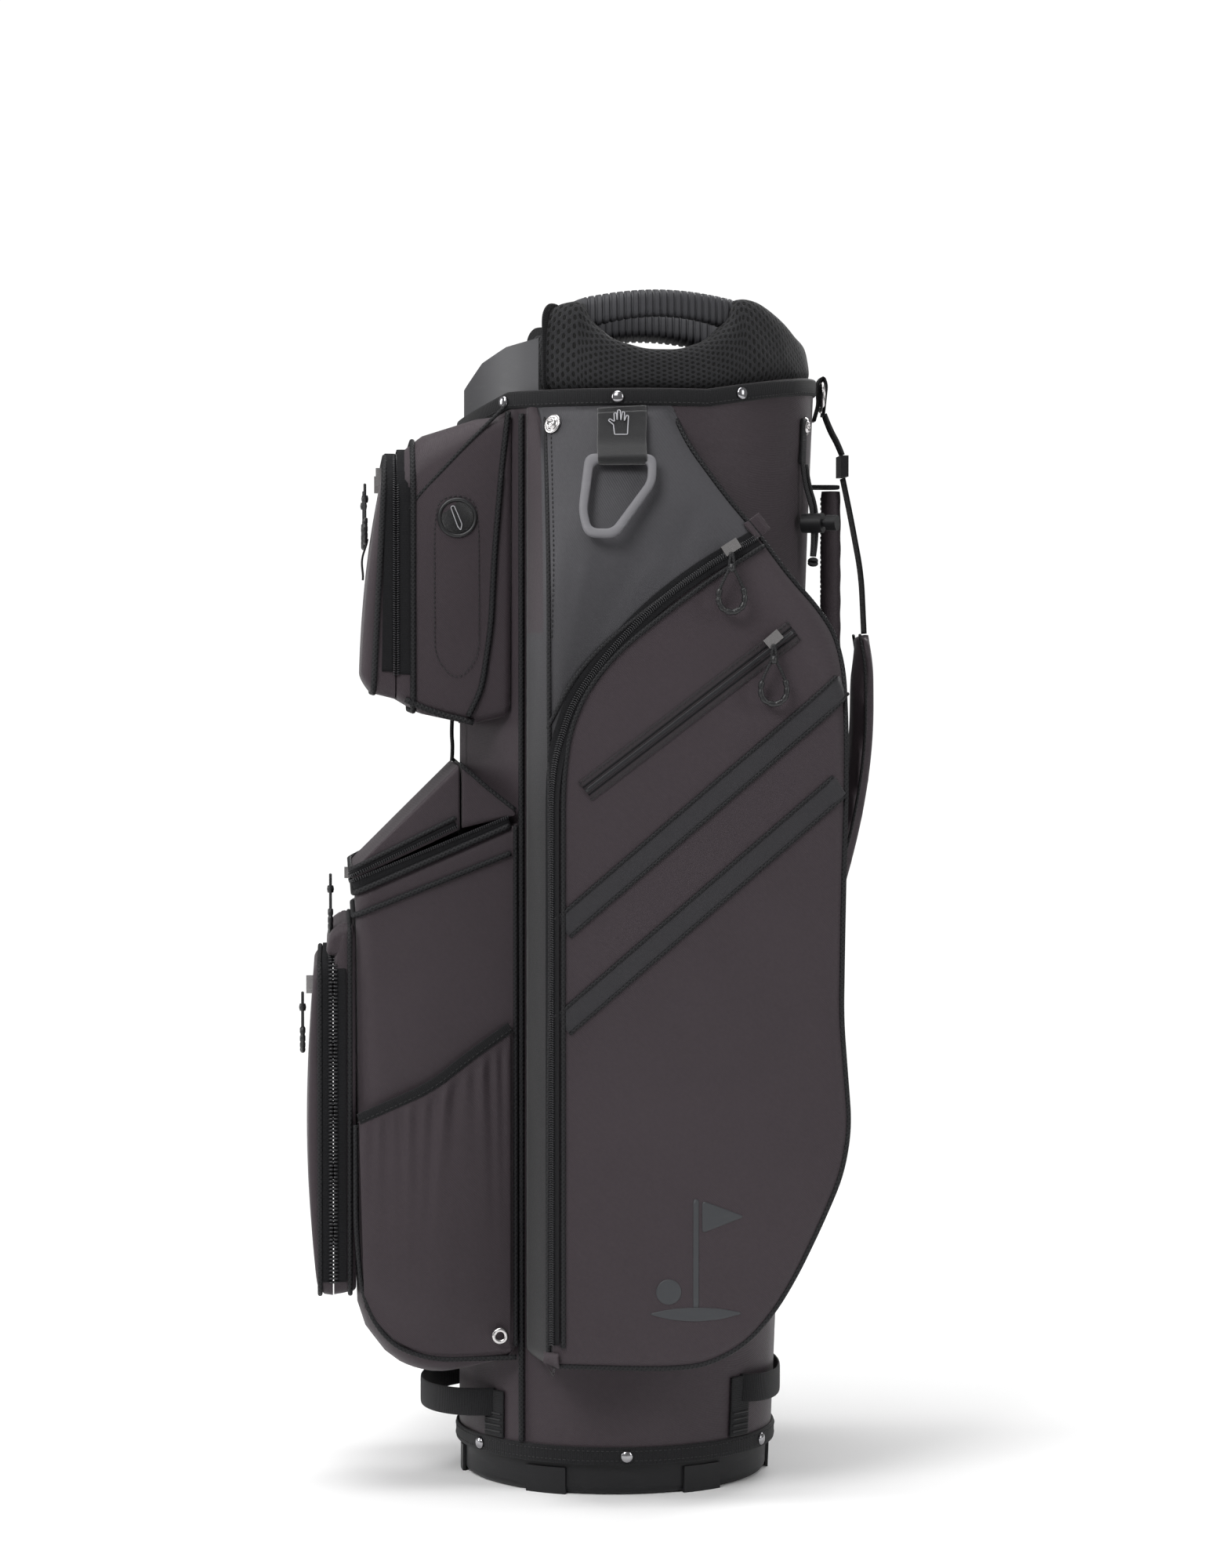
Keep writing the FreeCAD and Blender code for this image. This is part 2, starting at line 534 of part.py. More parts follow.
def slider(name, point, normal_angle, roll=0):
    """A slider body centred on point, its length turned by roll about the outward normal."""
    item = add("Part::Box", name, Length="slider_width", Width="slider_height", Height="slider_length")
    turn = FreeCAD.Rotation(FreeCAD.Vector(0, 0, 1), normal_angle - 90)
    spin = FreeCAD.Rotation(FreeCAD.Vector(0, 1, 0), roll)
    corner = FreeCAD.Vector(-number("slider_width / 2"), 0, -number("slider_length / 2"))
    base = FreeCAD.Vector(*[number(c) for c in point])
    item.Placement = FreeCAD.Placement(base + (turn * spin).multVec(corner), turn * spin)
    return item


def make_side_zips():
    welt_seat = "side_reach + seat_gap"
    flared = f"side_top_reach + side_flare * (side_top - main_slider_z)"
    main_seat = f"min(side_reach, sqrt(({flared}) ^ 2 - (main_slider_y - top_shift) ^ 2)) + 2 * seat_gap"
    hang = "slider_height + pull_swing"
    mains = []
    for side, angle, word in ((1, 0, "right"), (-1, 180, "left")):
        mains.append(slider(f"side_slider_{word}",
                            (f"{side} * ({main_seat})", "main_slider_y", "main_slider_z"), angle,
                            -side * number("main_roll")))
        keep(f"welt_slider_{word}",
             slider(f"welt_slider_{word}", (f"{side} * ({welt_seat})", "welt_slider_y", "welt_slider_z"),
                    angle, -side * number("welt_roll")))
        pull(f"side_pull_{word}", (f"{side} * ({main_seat} + {hang})", "main_slider_y", "main_slider_z - 2"),
             angle)
        pull(f"welt_pull_{word}", (f"{side} * ({welt_seat} + {hang})", "welt_slider_y", "welt_slider_z - 2"),
             angle)
    keep("side_sliders", group("side_sliders", mains))


# ---- upper front pocket ----

VALUABLES_DOOR = [(0, 0.045), (0.15, 0.045), (0.75, 0.085), (0.97, 0.12), (1, 0.16), (0.9, 0.3),
                  (0.68, 0.52), (0.41, 0.73), (0.07, 0.875), (0, 0.875)]

VALUABLES_DOOR_ROOM = [(-0.07, 0.095), (0.68, 0.104), (0.875, 0.167), (0.786, 0.302), (0.571, 0.514),
                       (0.286, 0.725), (0.036, 0.842), (-0.07, 0.842)]


def make_valuables():
    height = "valuables_top - valuables_bottom"
    outer = [("-side_front - 8", "valuables_top + 1"), ("-valuables_zip + 21", "valuables_top - 11"),
             ("-valuables_zip", "valuables_top - 22"), ("-valuables_zip", "valuables_bottom + 10"),
             ("-valuables_zip + 18", "valuables_bottom"), ("-side_front - 8", "valuables_bottom - 12")]
    inner = [("-side_front", "valuables_top - 12"), ("-valuables_zip + 22", "valuables_top - 17"),
             ("-valuables_zip - 1", "valuables_top - 27"), ("-valuables_zip - 1", "valuables_bottom + 15"),
             ("-valuables_zip + 20", "valuables_bottom + 6"), ("-side_front", "valuables_bottom")]
    shell = cut("valuables_shell",
                prism("valuables_outer", SIDE, outer, "-valuables_half", "valuables_half"),
                prism("valuables_inner", SIDE, inner, "-valuables_half + pocket_wall",
                      "valuables_half - pocket_wall"))
    front = [("-valuables_half - 1", "valuables_bottom - 20"), ("valuables_half + 1", "valuables_bottom - 20"),
             ("valuables_half + 1", "chamfer_start"), ("chamfer_half", "valuables_top + 2"),
             ("-chamfer_half", "valuables_top + 2"), ("-valuables_half - 1", "chamfer_start")]
    faces = prism("valuables_front", FRONT, front, "-wide", "wide")
    above = rim_line("binding_width + seat_gap")
    above += [("wide", "rim_height + tube_head"), ("-wide", "rim_height + tube_head")]
    room = common("binding_room", tube_at("binding_wall + rivet_dome + 3 * seat_gap"),
                  prism("binding_room_window", SIDE, above, "-wide", "wide"))
    body = cut("valuables_clear", cut("valuables_seat", common("valuables_form", shell, faces),
                                      tube_at("seat_gap")), room)
    keep("valuables_pocket", body)

    door_base = ("-valuables_zip - zip_gap", "valuables_bottom")
    door_depth = "-(valuables_reach - valuables_zip - zip_gap)"
    tray = cut("valuables_tray",
               prism("valuables_door_outer", SIDE, shaped(door_base, door_depth, height, VALUABLES_DOOR),
                     "-valuables_half", "valuables_half"),
               prism("valuables_door_inner", SIDE, shaped(door_base, door_depth, height, VALUABLES_DOOR_ROOM),
                     "-valuables_half + door_wall", "valuables_half - door_wall"))
    keep("valuables_door", common("valuables_door", tray, faces))
    loop = box("door_loop", ("-webbing_half", "webbing_half"),
               ("-valuables_reach + 4.9", "-valuables_reach + 6.9"), ("valuables_top - 117", "valuables_top - 92"))
    keep("door_loop", loop)
    sliders = []
    for side, word in ((1, "right"), (-1, "left")):
        x = f"{side} * (valuables_half * 0.62)"
        y, z = "-valuables_zip - 9.9", "valuables_top - 44"
        sliders.append(slider(f"valuables_slider_{word}", (x, f"{y} - seat_gap", z), -90))
        pull(f"valuables_pull_{word}", (x, f"{y} - seat_gap - slider_height - pull_swing", f"{z} - 4"), -90, 14)
    keep("valuables_sliders", group("valuables_sliders", sliders))
    ring = cylinder("pen_disc", "pen_radius", "1.5")
    hole = cylinder("pen_hole", "pen_bore", "1.5")
    for item in (ring, hole):
        item.Placement = FreeCAD.Placement(
            FreeCAD.Vector(number("valuables_half + seat_gap"), -124, number("valuables_top - 76")),
            FreeCAD.Rotation(FreeCAD.Vector(0, 1, 0), 90))
    keep("pen_ring", cut("pen_ring", ring, hole))


# ---- lower front pocket with its lid, front door and pouches ----

LOWER_SHAPE = [(0, 1), (0.483, 0.941), (0.775, 0.9), (0.967, 0.882), (0.967, 0.825), (1, 0.81), (1, 0.125),
               (0.945, 0.092), (0.86, 0.057), (0.71, 0.02), (0.54, 0), (0, 0)]
LOWER_ROOM = [(-0.17, 1.06), (0.925, 1.06), (0.925, 0.13), (0.9, 0.106), (0.82, 0.07), (0.69, 0.034),
              (0.53, 0.012), (-0.17, 0.012)]
POUCH_SHAPE = [(0, 1), (0.25, 0.93), (0.5, 0.84), (0.75, 0.775), (1, 0.736), (1, 0.2), (0.83, 0.06),
               (0.55, 0), (0, 0)]
POUCH_ROOM = [(0.045, 1.1), (0.955, 1.1), (0.955, 0.22), (0.8, 0.085), (0.54, 0.022), (0.045, 0.022)]
DOOR_SHAPE = [(0, 0), (0.37, 0.016), (0.79, 0.27), (1, 0.58), (0.9, 0.78), (0.7, 0.965), (0.3, 0.996), (0, 0.996)]
DOOR_ROOM = [(-0.1, 0.02), (0.25, 0.03), (0.64, 0.28), (0.84, 0.58), (0.74, 0.775), (0.5, 0.95), (-0.1, 0.975)]


def make_lower_pocket():
    base = ("-lower_back", "lower_bottom")
    depth, height = "-(lower_reach - lower_back)", "lower_rim_back - lower_bottom"
    outer = prism("lower_outer", SIDE, shaped(base, depth, height, LOWER_SHAPE), "-lower_half", "lower_half")
    inner = prism("lower_inner", SIDE, shaped(base, depth, height, LOWER_ROOM),
                  "-lower_half + pocket_wall", "lower_half - pocket_wall")
    keep("lower_pocket", cut("lower_pocket", cut("lower_shell", outer, inner), tube_at("seat_gap")))

    rise = "lower_rim_back - lower_rim_front"
    hinge_y, hinge_z = "-lid_hinge_y", "lid_hinge_z"
    edge_gap = "seat_gap + zip_gap"
    lid_low = [("-lower_back - 107", f"lower_rim_front + 2 + {edge_gap}"),
               ("-lower_back - 93", f"lower_rim_front + ({rise}) * 0.16 + {edge_gap}"),
               ("-lower_back - 58", f"lower_rim_front + ({rise}) * 0.5 + {edge_gap}"),
               (hinge_y, f"lower_rim_front + ({rise}) * 0.66 + {edge_gap}")]
    lid_top = [(hinge_y, hinge_z), (f"{hinge_y} - 20", f"{hinge_z} - 18"), (f"{hinge_y} - 41", f"{hinge_z} - 38"),
               (f"{hinge_y} - 61", f"{hinge_z} - 58"), ("-lid_reach", "lower_rim_front + 11"),
               ("-lid_reach + 1", "lower_rim_front + 4")]
    room_top = [("-lid_hinge_y + 2", f"{hinge_z} - 7"), (f"{hinge_y} - 19", f"{hinge_z} - 24"),
                (f"{hinge_y} - 40", f"{hinge_z} - 43"), (f"{hinge_y} - 59", f"{hinge_z} - 62"),
                ("-lid_reach + 12", "lower_rim_front + 12"), ("-lid_reach + 13", "lower_rim_front"),
                ("-lid_hinge_y + 2", "lower_rim_front")]
    lid = cut("lid", prism("lid_outer", SIDE, lid_top + lid_low, "-lower_half", "lower_half"),
              prism("lid_inner", SIDE, room_top, "-lower_half + door_wall", "lower_half - door_wall"))
    keep("lid", lid)
    panel = [(f"{hinge_y} + zip_gap", f"{hinge_z} - 52"), (f"{hinge_y} + zip_gap", f"{hinge_z}"),
             ("-lower_back - 1", "lower_rim_back + 6"), ("-lower_back - 1", f"lower_rim_back + {edge_gap}")]
    keep("lid_hinge_panel", cut("lid_hinge_panel",
                                prism("lid_panel", SIDE, panel, "-lower_half", "lower_half"),
                                tube_at("seat_gap")))
    y, z = "-lid_reach - seat_gap", "lower_rim_front + 7"
    keep("lid_slider", slider("lid_slider", ("lower_half * 0.55", y, z), -90, 90))
    pull("lid_pull", ("lower_half * 0.55", f"{y} - slider_height - pull_swing", z), -90, 20)

    def door_outline(low, high):
        return [(f"-({y})", z) for y, z in shaped((low, "front_bottom"), high, "front_top - front_bottom", DOOR_SHAPE)]

    frame = [("-lower_reach - seat_gap", "front_bottom"), ("-front_zip", "front_bottom"),
             ("-front_zip", "front_top + 4"), ("-front_zip - 5", "front_top + 14"),
             ("-front_zip + 2", "front_top + 24"), ("-lower_reach - seat_gap", "front_top + 27")]
    frame_room = [("-lower_reach + 1", "front_bottom + pocket_wall"), ("-wide", "front_bottom + pocket_wall"),
                  ("-wide", "front_top - 2"), ("-lower_reach + 1", "front_top - 2")]
    keep("front_pocket", cut("front_pocket", prism("front_frame", SIDE, frame, "-front_half", "front_half"),
                             prism("front_frame_room", SIDE, frame_room, "-front_half + pocket_wall",
                                   "front_half - pocket_wall")))
    low, span = "front_zip + zip_gap", "front_reach - front_zip - zip_gap"
    door_room = [(f"-({y})", z) for y, z in
                 shaped((low, "front_bottom"), span, "front_top - front_bottom", DOOR_ROOM)]
    keep("front_door", cut("front_door",
                           prism("front_door_outer", SIDE, door_outline(low, span), "-front_half", "front_half"),
                           prism("front_door_inner", SIDE, door_room, "-front_half + door_wall",
                                 "front_half - door_wall")))
    y, z = "-front_reach + 4", "front_top - 20"
    keep("front_slider", slider("front_slider", ("front_half * 0.8", y, z), -90))
    pull("front_pull", ("front_half * 0.8", f"{y} - slider_height - pull_swing", f"{z} - 4"), -90)

    span, tall = "-(lower_reach - lower_back - 6)", "pouch_top_back - lower_bottom - 18"
    start = ("-lower_back - 5", "lower_bottom + 18")
    skin = prism("pouch_outer", SIDE, shaped(start, span, tall, POUCH_SHAPE), "lower_half + seat_gap", "pouch_reach")
    room = prism("pouch_room", SIDE, shaped(start, span, tall, POUCH_ROOM), "lower_half - 1",
                 "pouch_reach - pouch_skin")
    pouch = cut("pouch", skin, room)
    keep("side_pouches", group("side_pouches", [pouch, mirrored("pouch_other", pouch)]))

    eyelets = []
    for side in (1, -1):
        pair = [cylinder(f"eyelet_{word}_{side + 1}", radius, "eyelet_thick")
                for word, radius in (("disc", "eyelet_radius"), ("hole", "eyelet_bore"))]
        for item in pair:
            item.Placement = FreeCAD.Placement(
                FreeCAD.Vector(side * number("pouch_reach + seat_gap"), -number("lower_back + 14"),
                               number("lower_bottom + 36")),
                FreeCAD.Rotation(FreeCAD.Vector(0, 1, 0), 90 * side))
        eyelets.append(cut(f"eyelet_{side + 1}", *pair))
    keep("drain_eyelets", group("drain_eyelets", eyelets))


# ---- gear ring on its hook-and-loop tab ----

def make_gear_ring():
    angle = -8
    slope = FreeCAD.Rotation(FreeCAD.Vector(0, 1, 0), -math.degrees(math.atan(number("side_flare"))))
    turn = FreeCAD.Rotation(FreeCAD.Vector(0, 0, 1), angle) * slope
    reach = number("side_top_reach + seat_gap")
    pivot_drop = number("tab_length")
    top = FreeCAD.Vector(reach * math.cos(math.radians(angle)),
                         number("top_shift") + reach * math.sin(math.radians(angle)),
                         number("side_top"))
    out = turn.multVec(FreeCAD.Vector(number("ring_bar + tab_thick + seat_gap"), 0, 0))
    pivot = top + turn.multVec(FreeCAD.Vector(0, 0, -pivot_drop)) + out
    base = FreeCAD.Placement(pivot, turn)

    def local(item):
        item.Placement = base * item.Placement
        return item

    along = FreeCAD.Rotation(FreeCAD.Vector(1, 0, 0), -90)
    bar = cylinder("ring_bar_rod", "ring_bar", "2 * (ring_top_half - 1)", 0, "-ring_top_half + 1", 0, along)
    outer = [("-ring_top_half", "ring_bar"), ("ring_top_half", "ring_bar"),
             ("ring_top_half", "-ring_length * 0.42"), ("ring_low_half", "-ring_length"),
             ("-ring_low_half", "-ring_length"), ("-ring_top_half", "-ring_length * 0.42")]
    inner = [("-ring_top_half + ring_rim", "ring_bar + 1"), ("ring_top_half - ring_rim", "ring_bar + 1"),
             ("ring_top_half - ring_rim", "-ring_length * 0.4"), ("ring_low_half - 3", "-ring_length + ring_rim"),
             ("-ring_low_half + 3", "-ring_length + ring_rim"), ("-ring_top_half + ring_rim", "-ring_length * 0.4")]
    plate = prism("ring_plate", SIDE, outer, "-ring_bar", "ring_bar", [(3, "5"), (4, "5")])
    window = prism("ring_window_plate", SIDE, inner, "-ring_bar - 1", "ring_bar + 1")
    solid = fuse("gear_ring_solid", cut("ring_frame", plate, window), bar)
    keep("gear_ring", local(solid))

    half = "(tab_width / 2)"
    sleeve = cylinder("tab_sleeve", "ring_bar + pin_gap + tab_thick", "tab_width", 0, f"-{half}", 0, along)
    bore = cylinder("tab_bore", "ring_bar + pin_gap", "tab_width + 2", 0, f"-{half} - 1", 0, along)
    strip = box("tab_strip", ("-ring_bar - pin_gap - tab_thick", "-ring_bar - pin_gap"),
                (f"-{half}", half), ("0", "tab_length"))
    doc.recompute()
    keep("gear_tab", local(cut("gear_tab_solid", fuse("gear_tab_body", sleeve, strip), bore)))
    return pivot, turn


# ---- back: umbrella loop, strap, carry handle and base handles ----

def cord(name, points, diameter):
    """A tube along straight runs joined by tangent arcs, as large as the two runs allow."""
    spots = [FreeCAD.Vector(*point) for point in points]
    edges, radii, start = [], [], spots[0]
    for before, corner, after in zip(spots, spots[1:], spots[2:]):
        back, ahead = before - corner, after - corner
        shorter = min(back.Length, ahead.Length)
        half_turn = (math.pi - back.getAngle(ahead)) / 2
        reach = 0.45 * shorter
        radius = reach / math.tan(half_turn)
        back.normalize()
        ahead.normalize()
        first, last = corner + back * reach, corner + ahead * reach
        bisector = (back + ahead).normalize()
        middle = corner + bisector * (radius / math.cos(half_turn) - radius)
        edges += [Part.LineSegment(start, first).toShape(), Part.Arc(first, middle, last).toShape()]
        radii.append(round(radius, 1))
        start = last
    edges.append(Part.LineSegment(start, spots[-1]).toShape())
    path = Part.Wire(edges)
    direction = spots[1] - spots[0]
    profile = Part.Wire([Part.Circle(spots[0], direction, diameter / 2).toShape()])
    tube = path.makePipeShell([profile], True, True)
    expected = math.pi * diameter ** 2 / 4 * path.Length
    print(f"{name}: length {path.Length:.1f}, volume {tube.Volume / expected:.4f} of expected, radii {radii}")
    item = doc.addObject("Part::Feature", name)
    item.Shape = tube
    return item


# Routes of the free cords, chosen by hand: each hangs from its tab under its own weight.
UMBRELLA_CORDS = [
    [(64.1, 138.3, 771.7), (64.6, 140, 756), (65, 145, 741), (64.4, 146.2, 727), (62.8, 146.8, 713),
     (60.5, 146.2, 702)],
    [(56.9, 141.8, 771.7), (56.2, 144, 756), (56.8, 149, 741), (56.8, 150, 727), (56.6, 149.6, 713),
     (56.8, 148, 702)],
]
STRAP_CORD = [(-4, 162.8, 813.6), (-5.6, 167, 802), (-5.2, 173.4, 791), (-4.4, 176.8, 782.1)]
POCKET_CORD = [(30, -126, 578.3), (30.5, -126.6, 567.5), (29.8, -125.5, 557), (30.6, -126.3, 546.5)]


def make_umbrella_loop():
    cords = [cord(f"umbrella_strand_{i}", points, number("cord_diameter"))
             for i, points in enumerate(UMBRELLA_CORDS)]
    keep("umbrella_cords", group("umbrella_cords", cords))
    knot = place(add("Part::Sphere", "umbrella_knot", Radius="cord_diameter * 1.15"), "58.7", "147", "697.6")
    keep("umbrella_knot", knot)
    angle = number("lock_angle")
    turn = facing(angle)
    barrel = cylinder("lock_barrel", "lock_radius", "lock_length")
    bore = cylinder("lock_bore", "stem_radius + pin_gap", "stem_length + plunger_travel + 1")
    knob = cylinder("plunger_knob", "plunger_radius", "plunger_length")
    stem = cylinder("plunger_stem", "stem_radius", "stem_length + 1")
    out = turn.multVec(FreeCAD.Vector(0, 0, 1))
    start = on_tube(angle, "lock_height", "4")
    travel = number("plunger_travel")
    length, stem_length = number("lock_length"), number("stem_length")
    barrel.Placement = FreeCAD.Placement(start, turn)
    bore.Placement = FreeCAD.Placement(start + out * (length - stem_length - travel), turn)
    knob_base = start + out * (length + travel + number("seat_gap"))
    knob.Placement = FreeCAD.Placement(knob_base, turn)
    stem.Placement = FreeCAD.Placement(knob_base - out * stem_length, turn)
    keep("cord_lock", cut("cord_lock", barrel, bore))
    keep("lock_plunger", fuse("lock_plunger", knob, stem))


def make_back():
    def plate(name, angle, low, high, half, offset):
        """A webbing patch standing on the tube wall at an angle."""
        width = f"({half}) * 2"
        item = add("Part::Box", name, Length=width, Width="webbing_thick", Height=f"({high}) - ({low})")
        turn = FreeCAD.Rotation(FreeCAD.Vector(0, 0, 1), angle - 90)
        corner = turn.multVec(FreeCAD.Vector(-number(half), 0, 0))
        foot = on_tube(angle, high, offset)
        foot.z = number(low)
        item.Placement = FreeCAD.Placement(foot + corner, turn)
        return item

    umbrella = plate("umbrella_tab", 64, "rim_height - 50", "rim_height - 17", "11", "seat_gap + 0.5")
    strap_tab = box("strap_tab", ("-10", "10"), ("tube_back + 3.6", "tube_back + 3.6 + webbing_thick"),
                    ("rim_height - 8", "rim_height + 24"))
    low_back = f"({centre_at('strap_low')} + {radius_at('strap_low')})"
    low_patch = cut("strap_low_patch", box("strap_low_tab", ("-10", "10"), (f"{low_back} - 22", f"{low_back} + 6"),
                                           ("strap_low - 19", "strap_low + 6")), tube_at("seat_gap"))
    plates = []
    for low in ("carry_high + seat_gap", "carry_low - seat_gap - tab_plate"):
        arm = box(f"carry_plate_{len(plates)}", ("-carry_radius - 2", "carry_radius + 2"),
                  ("top_radius - 20", "carry_y + carry_radius - 2"), (low, f"({low}) + tab_plate"))
        plates.append(cut(f"carry_arm_{len(plates)}", arm, tube_at("seat_gap")))
    keep("back_tabs", group("back_tabs", [umbrella, strap_tab, low_patch] + plates))
    handle = cylinder("carry_rod", "carry_radius", "carry_high - carry_low", 0, "carry_y", "carry_low")
    keep("carry_handle", handle)

    flat = FreeCAD.Rotation(FreeCAD.Vector(1, 0, 0), 90)
    upper = place(add("Part::Torus", "strap_ring_upper", Radius1="strap_ring", Radius2="strap_wire"), 0,
                  "tube_back + 3.6 + webbing_thick + seat_gap + strap_wire", "rim_height + 6", flat)
    lower = place(add("Part::Torus", "strap_ring_lower", Radius1="strap_ring", Radius2="strap_wire"), 0,
                  f"{low_back} + 6 + seat_gap + strap_wire", "strap_low", flat)
    keep("strap_rings", group("strap_rings", [upper, lower]))
    left = cord("strap_strand_0", STRAP_CORD, number("cord_diameter"))
    right = cord("strap_strand_1", [(-x, y, z) for x, y, z in STRAP_CORD], number("cord_diameter"))
    keep("strap_cords", group("strap_cords", [left, right]))
    keep("strap_adjuster", box("strap_adjuster", ("-15", "15"), ("tube_back + 21", "tube_back + 27"),
                                ("rim_height - 57", "rim_height - 40.7")))

    def behind(points):
        """Side-view points given as distances behind the tube's top and below its rim."""
        return [(f"tube_back + {y}", f"rim_height - {z}") for y, z in points]

    band_side = behind([(22.5, 57.3), (24.5, 57.3), (30, 87), (39, 132), (41, 176.7), (39, 176.7), (37, 132),
                        (28, 87)])
    band_upper = prism("strap_band_upper", SIDE, band_side, "-webbing_half", "webbing_half")
    low_side = behind([(-2.5, 430.5), (-0.5, 430.5)]) + [
        (f"{low_back} + 13", "strap_low + 40"), (f"{low_back} + 9.6", "strap_low + 14.2"),
        (f"{low_back} + 7.6", "strap_low + 14.2"), (f"{low_back} + 11", "strap_low + 40")]
    band_lower = prism("strap_band_lower", SIDE, low_side, "-webbing_half", "webbing_half")
    keep("strap_webbing", group("strap_webbing", [band_upper, band_lower]))
    pad_side = behind([(34, 177), (44, 177), (46, 197), (46, 262), (38, 322), (23, 382), (7, 430), (-5, 430),
                       (-7, 420), (10, 374), (25, 314), (34, 257), (34, 197)])
    keep("strap_pad", prism("strap_pad", SIDE, pad_side, "-strap_half", "strap_half"))

    arc = [(math.sin(math.radians(a)), math.cos(math.radians(a))) for a in range(-90, 91, 15)]

    def strip(name, ends_y, reach, half, low):
        """A webbing strip bent round in plan from one side of the tube to the other."""
        outside = [(f"{half} * {u:.4f}", f"{ends_y} + ({reach} - ({ends_y})) * {v:.4f}") for u, v in arc]
        inside = [(f"({half} - webbing_thick) * {u:.4f}",
                   f"{ends_y} + ({reach} - ({ends_y})) * {v:.4f} * 0.94") for u, v in reversed(arc)]
        return prism(name, TOP, outside + inside, low, f"{low} + handle_strip")

    front = strip("front_handle_strip", "-96", "-front_handle_reach", "front_handle_half", "front_handle_low")
    keep("front_base_handle", cut("front_base_handle_fit", front, tube_at("seat_gap")))
    rear = strip("rear_handle_strip", "90", "base_radius + rear_handle_stand", "rear_handle_half",
                 "rear_handle_low")
    keep("rear_base_handle", cut("rear_base_handle_fit", rear, tube_at("seat_gap")))
    keep("pocket_cord", cord("pocket_cord", POCKET_CORD, number("pocket_cord_diameter")))


make_base()
make_shell()
make_dividers()
make_mouth()
make_trim()
make_side_pockets()
make_side_zips()
make_valuables()
make_lower_pocket()
doc.recompute()
pivot, turn = make_gear_ring()
make_umbrella_loop()
make_back()
doc.recompute()
print("gear ring pivot", pivot, "axis", turn.multVec(FreeCAD.Vector(0, 1, 0)))

failed = [item.Name for item in doc.Objects if {"Invalid", "Error"} & set(item.State)]
failed += [item.Label for item in PARTS if item.Shape.isNull() or not item.Shape.isValid() or not item.Shape.Solids]
if failed:
    raise RuntimeError("these did not build: " + ", ".join(failed))

os.makedirs("parts", exist_ok=True)
for item in PARTS:
    item.Shape.exportStep(os.path.join("parts", item.Label + ".step"))
print(len(PARTS), "parts written")
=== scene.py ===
import math
import bpy
import numpy as np
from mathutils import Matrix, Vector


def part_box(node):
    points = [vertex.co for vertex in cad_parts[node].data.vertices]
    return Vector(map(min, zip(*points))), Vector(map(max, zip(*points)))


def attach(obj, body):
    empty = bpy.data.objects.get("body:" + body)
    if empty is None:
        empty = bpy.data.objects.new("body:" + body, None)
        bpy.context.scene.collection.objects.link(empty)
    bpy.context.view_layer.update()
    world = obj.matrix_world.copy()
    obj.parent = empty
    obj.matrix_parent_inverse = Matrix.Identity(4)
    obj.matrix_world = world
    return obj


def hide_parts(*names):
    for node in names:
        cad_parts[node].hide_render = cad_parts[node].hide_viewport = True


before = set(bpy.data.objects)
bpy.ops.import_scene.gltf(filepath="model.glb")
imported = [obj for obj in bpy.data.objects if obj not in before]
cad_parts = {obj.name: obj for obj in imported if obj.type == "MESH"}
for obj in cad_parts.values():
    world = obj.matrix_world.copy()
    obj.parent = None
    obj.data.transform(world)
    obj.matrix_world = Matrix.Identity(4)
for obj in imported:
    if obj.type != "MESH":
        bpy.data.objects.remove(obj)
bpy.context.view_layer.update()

# Golf cart bag. Shapes are worked out in millimetres and go into the meshes in metres.
# +Z is up, the front pockets face -Y, the strap is on the +Y side, the gear ring is on +X.

MM = 0.001
BASE_RADIUS, TOP_RADIUS, TOP_SHIFT, RIM = 120.0, 136.0, 17.0, 822.0
RIM_FRONT_BREAK, RIM_FRONT_SLOPE, RIM_BACK_BREAK, RIM_BACK_SLOPE = -85.0, 0.47, 60.0, 0.17
SHELL_FOOT, SHELL_WALL = 24.0, 3.0
BINDING, BINDING_THICK, PIPING, CLOTH_WALL = 13.0, 2.4, 2.2, 1.6
# A stitch's step, and its length, width and height; the same for the fine zip's teeth.
STITCH_PITCH, STITCH = 3.6, (1.9, 0.75, 0.5)
TOOTH_PITCH, TOOTH = 1.7, (2.2, 0.95, 1.3)
X_AXIS, Y_AXIS, Z_AXIS = np.eye(3)


# ---- small numeric helpers ----

def unit(vectors):
    """Vectors made one long."""
    return vectors / np.maximum(np.linalg.norm(vectors, axis=-1, keepdims=True), 1e-9)


def ease(value, start, end):
    """0 before start, 1 after end, and 3t^2 - 2t^3 between."""
    t = np.clip((np.asarray(value, float) - start) / (end - start), 0, 1)
    return t * t * (3 - 2 * t)


def soft_min(a, b, width):
    """The smaller of two values, with a round of this width where they cross."""
    return 0.5 * (a + b - np.sqrt((a - b) ** 2 + width ** 2))


def lengths_along(path):
    """How far along a polyline each of its points is."""
    steps = np.linalg.norm(np.diff(path, axis=0), axis=1)
    return np.concatenate([[0], np.cumsum(steps)])


def evenly(path, count, closed=False):
    """Points at equal steps along a polyline; a closed one gives no second copy of its start."""
    path = np.vstack([path, path[:1]]) if closed else np.asarray(path, float)
    at = lengths_along(path)
    wanted = np.linspace(0, at[-1], count + 1)[:-1] if closed else np.linspace(0, at[-1], count)
    return np.stack([np.interp(wanted, at, path[:, k]) for k in range(path.shape[1])], 1)


